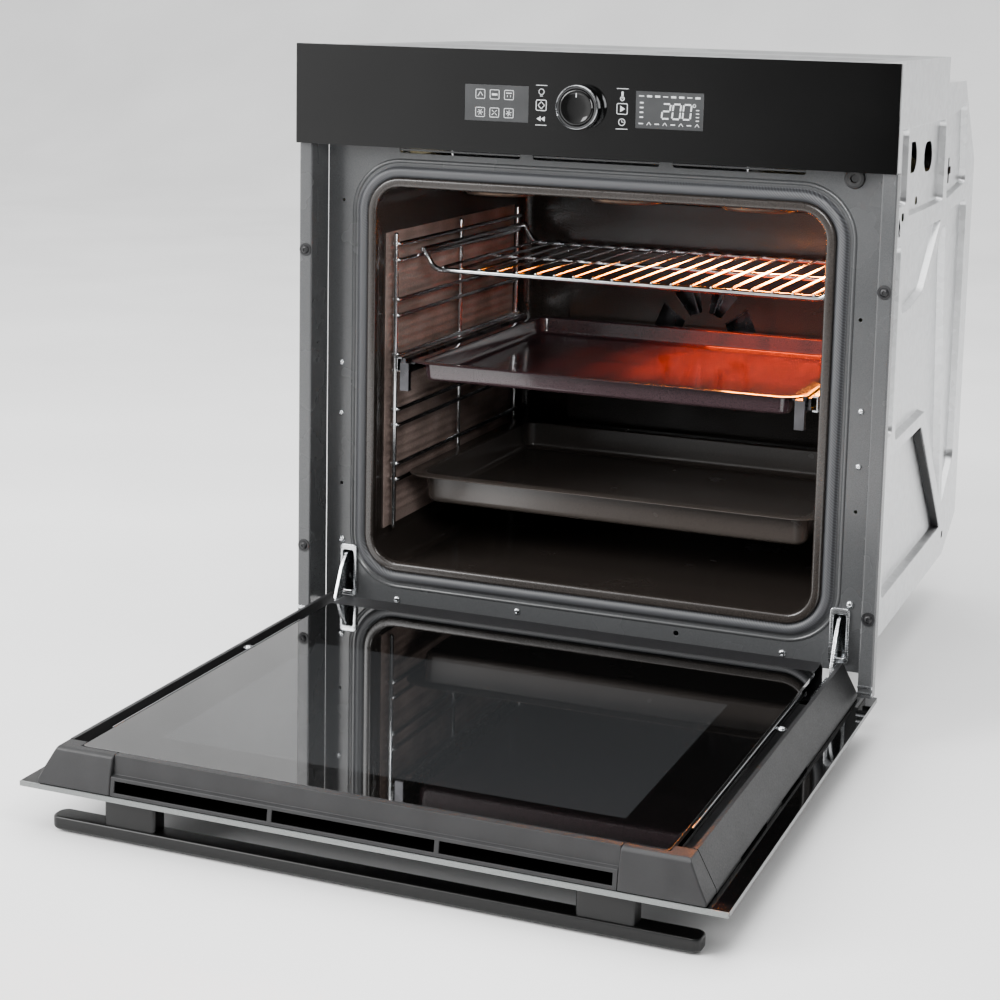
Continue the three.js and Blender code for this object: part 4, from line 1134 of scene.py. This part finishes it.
def addFanHeater():
    low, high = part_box("ring_element")
    middle = (low + high) / 2
    loop = circleLoop(middle.x, middle.z, (high.x - low.x) / 2 - 3.8 * mm, 72)
    bm = bmesh.new()
    sweep(bm, [(u, middle.y, v) for u, v in loop], 3.5 * mm, 12, closed=True)
    finishPiece("ring_element_skin", bm, "oven", "heater_steel", ("ring_element",), 60)
    reworked("base_element", "oven", "heater_steel", 0, sharp=70)
    reworked("fan_baffle", "oven", "enamel", 0.5 * mm, finish="cavity")
    reworked("fan_wheel", "fan", "galvanised", 0.2 * mm, finish="runner_steel")
    reworked("fan_motor", "oven", "galvanised", 0.8 * mm)


def addLamp():
    reworked("lamp_housing", "oven", "zinc", 0.5 * mm)
    low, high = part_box("lamp_lens")
    middle = (low + high) / 2
    radius, deep = (high.x - low.x) / 2, high.y - low.y
    section = ((0, 1), (0.3, 0.98), (0.6, 0.84), (0.85, 0.5), (0.96, 0.25), (1, 0.12), (1, 0), (0.85, 0),
               (0.8, 0.3), (0.5, 0.65), (0, 0.8))
    turned("lamp_lens_skin", [(radius * share, -deep * y) for share, y in section],
           (middle.x, high.y, middle.z), "oven", "lamp_glass", ("lamp_lens",), 60)
    reworked("insulation_wrap", "oven", "mineral_wool", 1.5 * mm)
    print("heating and lamp built")


# Control panel
panelPlan = {"height": 515.0, "face": -265.0, "bore": 15.0, "mark": 0.14, "line": 0.6}


class Inlay:
    # flat printed shapes gathered in one mesh, standing a hair proud of the face they lie on
    def __init__(self, depth):
        self.bm = bmesh.new()
        self.depth = depth

    def shape(self, *outlines):
        face = self.depth * mm
        addPlate(self.bm, [inMillimetres(outline) for outline in outlines], onY, face,
                 face - panelPlan["mark"] * mm)

    def line(self, u0, v0, u1, v1, width=None):
        width = (width or panelPlan["line"]) / 2
        along = Vector((u1 - u0, v1 - v0)).normalized()
        across = Vector((-along.y, along.x)) * width
        start, end = Vector((u0, v0)), Vector((u1, v1))
        self.shape([tuple(point) for point in (start + across, start - across, end - across, end + across)])

    def path(self, *points, width=None):
        for (u0, v0), (u1, v1) in zip(points, points[1:]):
            self.line(u0, v0, u1, v1, width)

    def ring(self, u, v, radius, width, steps=24):
        self.shape(circleLoop(u, v, radius, steps), circleLoop(u, v, radius - width, steps))

    def box(self, u, v, halfU, halfV, width, corner):
        self.shape(roundedLoop(u - halfU, v - halfV, u + halfU, v + halfV, corner, 4),
                   roundedLoop(u - halfU + width, v - halfV + width, u + halfU - width, v + halfV - width,
                               max(corner - width, 0.2), 4))

    def done(self, name):
        finishPiece(name, self.bm, "oven", "symbol_print")


segmentsOf = {"0": "abcdef", "2": "abged"}


def addDigits(inlay, text, u, v, size):
    half, tall, slant = size * 0.27, size / 2, 0.09
    places = {"a": ((-half, tall), (half, tall)), "b": ((half, tall), (half, 0)),
              "c": ((half, 0), (half, -tall)), "d": ((-half, -tall), (half, -tall)),
              "e": ((-half, -tall), (-half, 0)), "f": ((-half, 0), (-half, tall)),
              "g": ((-half, 0), (half, 0))}
    for i, digit in enumerate(text):
        for name in segmentsOf[digit]:
            (u0, v0), (u1, v1) = places[name]
            along = Vector((u1 - u0, v1 - v0)).normalized() * size * 0.05
            move = u + i * size * 0.74
            inlay.line(move + u0 + along.x + v0 * slant, v + v0 + along.y,
                       move + u1 - along.x + v1 * slant, v + v1 - along.y, size * 0.11)


def addPanel():
    low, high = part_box("control_fascia")
    outlines = [roundedLoop(low.x, low.z, high.x, high.z, 0.8 * mm, 3),
                circleLoop(0, panelPlan["height"] * mm, panelPlan["bore"] * mm, 40)]
    gap = 0.15 * mm
    for label, _ in sides:
        near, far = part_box(f"display_{label}")
        outlines.append(roundedLoop(near.x - gap, near.z - gap, far.x + gap, far.z + gap, 0.6 * mm, 3))
    softened("control_fascia_skin", outlines, onY, low.y, high.y, 0.5 * mm, "oven", "control_glass",
             ("control_fascia",))
    reworked("fascia_carrier", "oven", "galvanised", 0.6 * mm)
    for label, _ in sides:
        reworked(f"display_{label}", "oven", "display_face", 0.3 * mm)
    reworked("control_board", "oven", "circuit_board", 0.15 * mm)
    reworked("dial_encoder", "oven", "black_plastic", 0.4 * mm)
    addFunctionSymbols()
    addClockSymbols()
    addTouchSymbols()
    addDial()
    print("control panel built")


def addFunctionSymbols():
    middle = panelPlan["height"]
    left = Inlay(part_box("display_left")[0].y / mm)
    for row in (0, 1):
        for column in (0, 1, 2):
            u, v = -102 + column * 14.6, middle + 8.2 - row * 17
            left.box(u, v, 4.9, 4.6, 0.6, 1.3)
            if row == 0 and column == 0:
                left.path((u - 2.6, v - 2.2), (u, v + 2.2), (u + 2.4, v - 1.4))
            elif row == 0 and column == 1:
                left.line(u - 2.9, v, u + 2.9, v, 1.9)
            elif row == 0:
                left.line(u - 2.8, v + 1.7, u + 2.8, v + 1.7, 0.9)
                for k in (-1, 1):
                    left.line(u + k * 1.6, v - 2, u + k * 1.6, v - 0.2)
            elif column == 1:
                left.path((u - 2.6, v - 2.4), (u, v), (u + 2.6, v - 2.4))
                left.path((u - 2.6, v + 2.4), (u, v), (u + 2.6, v + 2.4))
            else:
                for k in range(3):
                    turn = math.pi * k / 3 + (0.3 if column else 0)
                    left.line(u - 2.9 * math.cos(turn), v - 2.9 * math.sin(turn),
                              u + 2.9 * math.cos(turn), v + 2.9 * math.sin(turn), 0.6)
    left.done("display_symbols_left")


def addClockSymbols():
    middle = panelPlan["height"]
    right = Inlay(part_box("display_left")[0].y / mm)
    addDigits(right, "200", 82.5, middle - 0.5, 13.5)
    right.ring(109.2, middle + 5.5, 1.6, 0.6, 14)
    for column in range(8):
        u = 58.5 + column * 7.7
        right.line(u - 2.4, middle + 12.6, u + 2.4, middle + 12.6, 1.9 if column % 3 else 0.9)
        if column % 2:
            right.path((u - 2, middle - 13.8), (u, middle - 11), (u + 2, middle - 13.8), width=0.6)
        else:
            right.line(u - 2.2, middle - 12.6, u + 2.2, middle - 12.6, 1.0)
    for row in range(4):
        right.line(57, middle + 6.5 - row * 4.4, 60.5, middle + 6.5 - row * 4.4, 1.3)
        right.line(111, middle + 1.5 - row * 3.2, 114, middle + 1.5 - row * 3.2, 0.9)
    right.done("display_symbols_right")


def addTouchSymbols():
    middle = panelPlan["height"]
    touch = Inlay(panelPlan["face"])
    for u in (-40, 40):
        for v in (18.5, -18.5):
            touch.line(u - 5.6, middle + v, u + 5.6, middle + v, 0.55)
    touch.ring(-40, middle + 12.6, 2.9, 0.6)
    touch.line(-41.3, middle + 8.6, -38.7, middle + 8.6, 0.6)
    touch.box(-40, middle, 5.4, 5.2, 0.7, 1.6)
    touch.path((-40, middle + 3.4), (-36.8, middle), (-40, middle - 3.4), (-43.2, middle),
               (-40, middle + 3.4), width=0.6)
    for start in (-44.4, -40.2):
        touch.shape([(start, middle - 12.6), (start + 4, middle - 10.2), (start + 4, middle - 15)])
    touch.shape(roundedLoop(39, middle + 9.6, 41, middle + 16, 0.9, 4))
    touch.ring(40, middle + 9.4, 2.2, 0.9)
    touch.box(40, middle, 5.4, 5.2, 0.7, 1.6)
    touch.shape([(38.2, middle - 2.9), (38.2, middle + 2.9), (42.8, middle)])
    touch.ring(40, middle - 12.2, 3.4, 0.65)
    touch.path((40, middle - 10.2), (40, middle - 12.2), (41.8, middle - 12.2), width=0.55)
    touch.done("touch_symbols")


def addDial():
    low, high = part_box("dial_ring")
    capLow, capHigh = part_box("dial_cap")
    middle = (low + high) / 2
    outer, front = (high.x - low.x) / 2 / mm, low.y / mm
    web, foot = front + 11.0, high.y / mm
    rim = [(19.3, front + 1.0), (19.5, front + 0.3), (20.0, front), (20.6, front + 0.5), (outer, front + 1.8),
           (outer, front + 12.6), (outer - 0.5, front + 13.4), (19.3, front + 13.5), (19.3, front + 1.0)]
    collar = [(6.2, web), (17.2, web), (17.25, front + 1.3), (17.7, front + 0.6), (18.9, front + 0.5),
              (19.3, front + 0.9), (19.3, front + 13.4), (13.5, front + 13.5), (13.5, foot), (6.2, foot),
              (6.2, web)]
    axis = (middle.x, 0, middle.z)
    for name, profile, finish in (("dial_ring_skin", rim, None), ("dial_collar", collar, "black_plastic")):
        turned(name, inMillimetres(profile), axis, "selector_ring", "chrome_trim", ("dial_ring",), 40,
               finish, 72)
    radius, tip, rear = (capHigh.x - capLow.x) / 2 / mm, capLow.y / mm, capHigh.y / mm
    profile = [(0, tip + 0.8), (8, tip + 0.7), (13.5, tip + 0.35), (radius - 2.2, tip),
               (radius - 1.0, tip + 0.15), (radius - 0.25, tip + 0.8), (radius, tip + 1.9),
               (radius, tip + 9.4), (4, tip + 9.5), (4, rear - 1), (3.2, rear), (0, rear)]
    turned("dial_cap_skin", inMillimetres(profile), axis, "selector_button", "control_glass", ("dial_cap",),
           40, around=64)
    # index line that shows how far the selector is turned
    bm = bmesh.new()
    foot = panelPlan["height"] + 9.5
    loop = roundedLoop(-0.45, foot, 0.45, foot + 4, 0.4, 4)
    addPlate(bm, [inMillimetres(loop)], onY, (tip + 0.55) * mm, (tip + 0.14) * mm)
    finishPiece("dial_index", bm, "selector_button", "symbol_print")


# Cooling, terminal and hinges
hingePlan = {"middle": 256.4, "outer": (9.6, 3.5, 57.0, 4.0), "inner": (5.9, 9.0, 51.0, 2.5),
             "depths": (-225.8, -223.05), "terminalPitch": 16.0}


def addHidden():
    reworked("blower_housing", "oven", "galvanised", 0.4 * mm)
    reworked("blower_wheel", "blower", "galvanised", 0.15 * mm)
    reworked("blower_motor", "oven", "galvanised", 0.8 * mm)
    reworked("terminal_block", "oven", "black_plastic", 0.8 * mm)
    low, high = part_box("terminal_block")
    bm = bmesh.new()
    for column in (-1, 0, 1):
        x = (low.x + high.x) / 2 + column * hingePlan["terminalPitch"] * mm
        addScrew(bm, (x, (low.y + high.y) / 2, high.z - 0.2 * mm), 3 * mm, "z", 0.5)
    finishPiece("terminal_screws", bm, "oven", "zinc")
    for label, side in sides:
        reworked(f"hinge_body_{label}", "oven", "zinc", 0.4 * mm)
        reworked(f"hinge_arm_{label}", "door", "zinc", 0.4 * mm)
        middle, rings = side * hingePlan["middle"], []
        for half, foot, head, corner in (hingePlan["outer"], hingePlan["inner"]):
            rings.append(inMillimetres(roundedLoop(middle - half, foot, middle + half, head, corner, 4)))
        front, rear = (depth * mm for depth in hingePlan["depths"])
        softened(f"hinge_plate_{label}", rings, onY, front, rear, 0.7 * mm, "oven", "zinc")
    print("hidden works built")


# Door
panePlan = {
    # slot, corner, rolled edge and how deep the bare ground lip is
    "door_outer_glass": ("door_glass", 1.5, 1.1, 1.6),
    "door_middle_glass": ("inner_glass", 3.0, 0.6, 0.0),
    "door_inner_glass": ("inner_glass", 3.0, 0.9, 0.0),
}


def addDoor():
    for node, (slot, corner, edge, inset) in panePlan.items():
        low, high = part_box(node)
        start = low.y + inset * mm
        loop = roundedLoop(low.x, start, high.x, high.y, corner * mm, 5)
        softened(node + "_skin", [loop], onZ, low.z, high.z, edge * mm, "door", slot, (node,))
        if inset:
            lip = roundedLoop(low.x, low.y, high.x, start + 0.1 * mm, 0.5 * mm, 3)
            softened(node + "_edge", [lip], onZ, low.z, high.z, 0.4 * mm, "door", slot, (node,),
                     "ground_edge")
    reworked("door_top_rail", "door", "rail_paint", 0.5 * mm)
    reworked("door_bottom_rail", "door", "black_plastic", 0.5 * mm)
    for label, _ in sides:
        reworked(f"door_side_rail_{label}", "door", "rail_paint", 0.5 * mm)
        reworked(f"door_end_cap_{label}", "door", "rail_paint", 1.2 * mm, 3)
    addDoorTrim()
    addHandle()
    print("door built")


doorTrimPlan = {"strip": 2.4, "gap": 1.0, "ends": (46.0, 60.0), "screw": (256.0, -430.0, 8.5),
                "screwRadius": 3.2}


def addDoorTrim():
    # thin bright gasket strips between the inner pane and its rails
    low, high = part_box("door_inner_glass")
    bm = bmesh.new()
    edge, (near, far) = high.x + doorTrimPlan["gap"] * mm, doorTrimPlan["ends"]
    loop = roundedLoop(edge, high.z - 3 * mm, edge + doorTrimPlan["strip"] * mm, high.z - 0.2 * mm, 1 * mm, 4)
    for _, side in sides:
        addPlate(bm, [[(u * side, v) for u, v in loop]], onY, low.y + near * mm, high.y - far * mm)
    bmesh.ops.recalc_face_normals(bm, faces=bm.faces)
    finishPiece("pane_gaskets", bm, "door", "chrome_trim")
    bm = bmesh.new()
    x, y, z = (value * mm for value in doorTrimPlan["screw"])
    washer = inMillimetres(((0, -1), (5, -1), (5, 0), (0, 0)))
    for _, side in sides:
        addScrew(bm, (side * x, y, z), doorTrimPlan["screwRadius"] * mm, "z", 1)
        lathe(bm, washer, (side * x, y, z), "z", 18)
    finishPiece("door_screws", bm, "door", "zinc")


handlePlan = {"edge": 3.6, "thick": 12.0, "endRound": 7.0,
              "postInset": 50.0, "postWidth": 47.0, "postSide": 1.5}


def addHandle():
    low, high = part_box("door_handle")
    edge, top = handlePlan["edge"] * mm, low.z + handlePlan["thick"] * mm

    def ring(left, right, sideInset, inset, corner, steps, height):
        loop = roundedLoop(left + inset, low.y + sideInset + inset, right - inset, high.y - sideInset - inset,
                           corner * mm, steps)
        return [onZ(u, v, height) for u, v in loop]

    def barRing(inset, height):
        return ring(low.x, high.x, 0.0, inset, handlePlan["endRound"], 8, height)

    bm = bmesh.new()
    turns = quarterTurns(6, 0)
    rings = [barRing(edge * (1 - math.sin(turn)), low.z + edge * (1 - math.cos(turn))) for turn in turns]
    edge /= 2
    rings += [barRing(edge * (1 - math.cos(turn)), top - edge * (1 - math.sin(turn))) for turn in turns]
    loft(bm, rings, capStart=True, capEnd=True)
    for _, side in sides:
        outer = side * (high.x - handlePlan["postInset"] * mm)
        left, right = sorted((outer, outer - side * handlePlan["postWidth"] * mm))
        steps = ((top - 1 * mm, 0.4), (top + 1.5 * mm, 0.0), (high.z - 1.4 * mm, 0.0),
                 (high.z - 0.4 * mm, 0.35), (high.z, 1.3))
        loft(bm, [ring(left, right, handlePlan["postSide"] * mm, inset * mm, 3, 6, height)
                  for height, inset in steps], capStart=True, capEnd=True)
    finishPiece("door_handle_skin", bm, "door", "handle_paint", ("door_handle",), 50)


# Studio
studio = {"half": 5.0, "front": -1.9, "rear": 3.4, "sweep": 1.6, "wall": 4.0,
          "drop": 1.5, "plinthInset": 40.0}


def addStudio():
    plaster, tree, shader = startMaterial("plaster floor, trowelled pale", rough=0.85)
    feed(tree, shader, color=colorSteps(tree, speckle(tree, 0.4, 2.0), (0.3, "#ededed"), (0.7, "#f6f6f6")))
    drop = cadBox[0].z - studio["drop"] * mm
    rear, bend = studio["rear"], studio["sweep"]
    rows = [(studio["front"], 0.0), (rear, 0.0)]
    rows += [(rear + bend * math.sin(turn), bend * (1 - math.cos(turn))) for turn in quarterTurns(12)]
    rows.append((rear + bend, studio["wall"]))
    bm = bmesh.new()
    loftRows = [[bm.verts.new((x, y, drop + z)) for x in (-studio["half"], studio["half"])] for y, z in rows]
    for first, second in zip(loftRows, loftRows[1:]):
        bm.faces.new((first[0], first[1], second[1], second[0])).smooth = True
    floor = makeObject("floor", bm, plaster)
    # plinth that stands for the cabinet's shelf under the oven
    low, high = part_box("base_panel")
    bm = bmesh.new()
    inset = studio["plinthInset"] * mm
    addPlate(bm, [roundedLoop(low.x + inset, low.y + inset, high.x - inset, high.y - inset / 2, 6 * mm, 5)],
             onZ, drop, low.z - 0.2 * mm)
    bmesh.ops.recalc_face_normals(bm, faces=bm.faces)
    makeObject("plinth", bm, plaster)


def addLight(name, kind, energy, where, towards, size=1.0, color="#ffffff", sizeY=None, cone=90, reach=180):
    lamp = bpy.data.lights.new(name, kind)
    lamp.energy = energy
    lamp.color = linear(color)[:3]
    if kind == "AREA":
        lamp.shape = "RECTANGLE"
        lamp.size, lamp.size_y = size, sizeY or size
        lamp.spread = math.radians(reach)
    else:
        lamp.shadow_soft_size = size
        lamp.spot_size, lamp.spot_blend = math.radians(cone), 0.7
    holder = bpy.data.objects.new(name, lamp)
    holder.location = where
    holder.rotation_mode = "QUATERNION"
    holder.rotation_quaternion = (Vector(towards) - Vector(where)).to_track_quat("-Z", "Y")
    holder.visible_camera = False
    bpy.context.scene.collection.objects.link(holder)


def addLights():
    world = bpy.data.worlds.new("studio")
    bpy.context.scene.world = world
    world.use_nodes = True
    tree = world.node_tree
    # white walls all round, with a dark gap towards the front right
    direction = addNode(tree, "ShaderNodeTexCoord").outputs["Generated"]
    facing = addNode(tree, "ShaderNodeVectorMath", {0: direction, 1: (0.643, -0.766, 0.0)},
                     operation="DOT_PRODUCT").outputs["Value"]
    backdrop = tree.nodes["Background"]
    backdrop.inputs["Color"].default_value = linear("#fafafa")
    seen = addNode(tree, "ShaderNodeLightPath").outputs["Is Camera Ray"]
    shaded = spread(tree, facing, 2.3, 0.12, 0.28, 0.62)
    strength = addNode(tree, "ShaderNodeMix", {"Factor": seen, "A": shaded, "B": 1.35}).outputs["Result"]
    tree.links.new(strength, backdrop.inputs["Strength"])
    addLight("keySoftbox", "AREA", 130, (-2.0, -2.4, 1.6), (0, -0.2, 0.2), 1.6)
    addLight("topSoftbox", "AREA", 40, (0, 0.0, 2.6), (0, 0.1, 0), 2.4)
    # soft fill through the mouth onto the left wall of the cavity
    addLight("cavityFill", "AREA", 6.5, (0.30, -0.95, 0.62), (-0.23, -0.05, 0.25), 0.3)
    # warm light of the lamp and the grill on the shelf and on the tray under it
    addLight("ovenLamp", "SPOT", 16, (0.105, 0.01, 0.409), (0.085, 0.0, 0.2), 0.005, "#ff4a08", cone=104)
    addLight("shelfGlow", "AREA", 3.2, (0.125, 0.140, 0.402), (0.105, -1.0, 0.26), 0.2, "#ff8410", 0.09,
             reach=70)
    addLight("trayGlow", "AREA", 2.4, (0.085, 0.03, 0.322), (0.085, 0.03, 0.2), 0.2, "#ff4a06", 0.18,
             reach=60)


addSidePanels()
addTopCover()
addRearCover()
addFrontFrame()
addColumns()
addScrews()
addBumper()
addCavity()
addCatalyticPanels()
addRacks()
addShelf()
for trayNode in trayPlans:
    addTray(trayNode)
addRunners()
addGrill()
addFanHeater()
addLamp()
addPanel()
addHidden()
addDoor()
addStudio()
addLights()
print("studio lit")
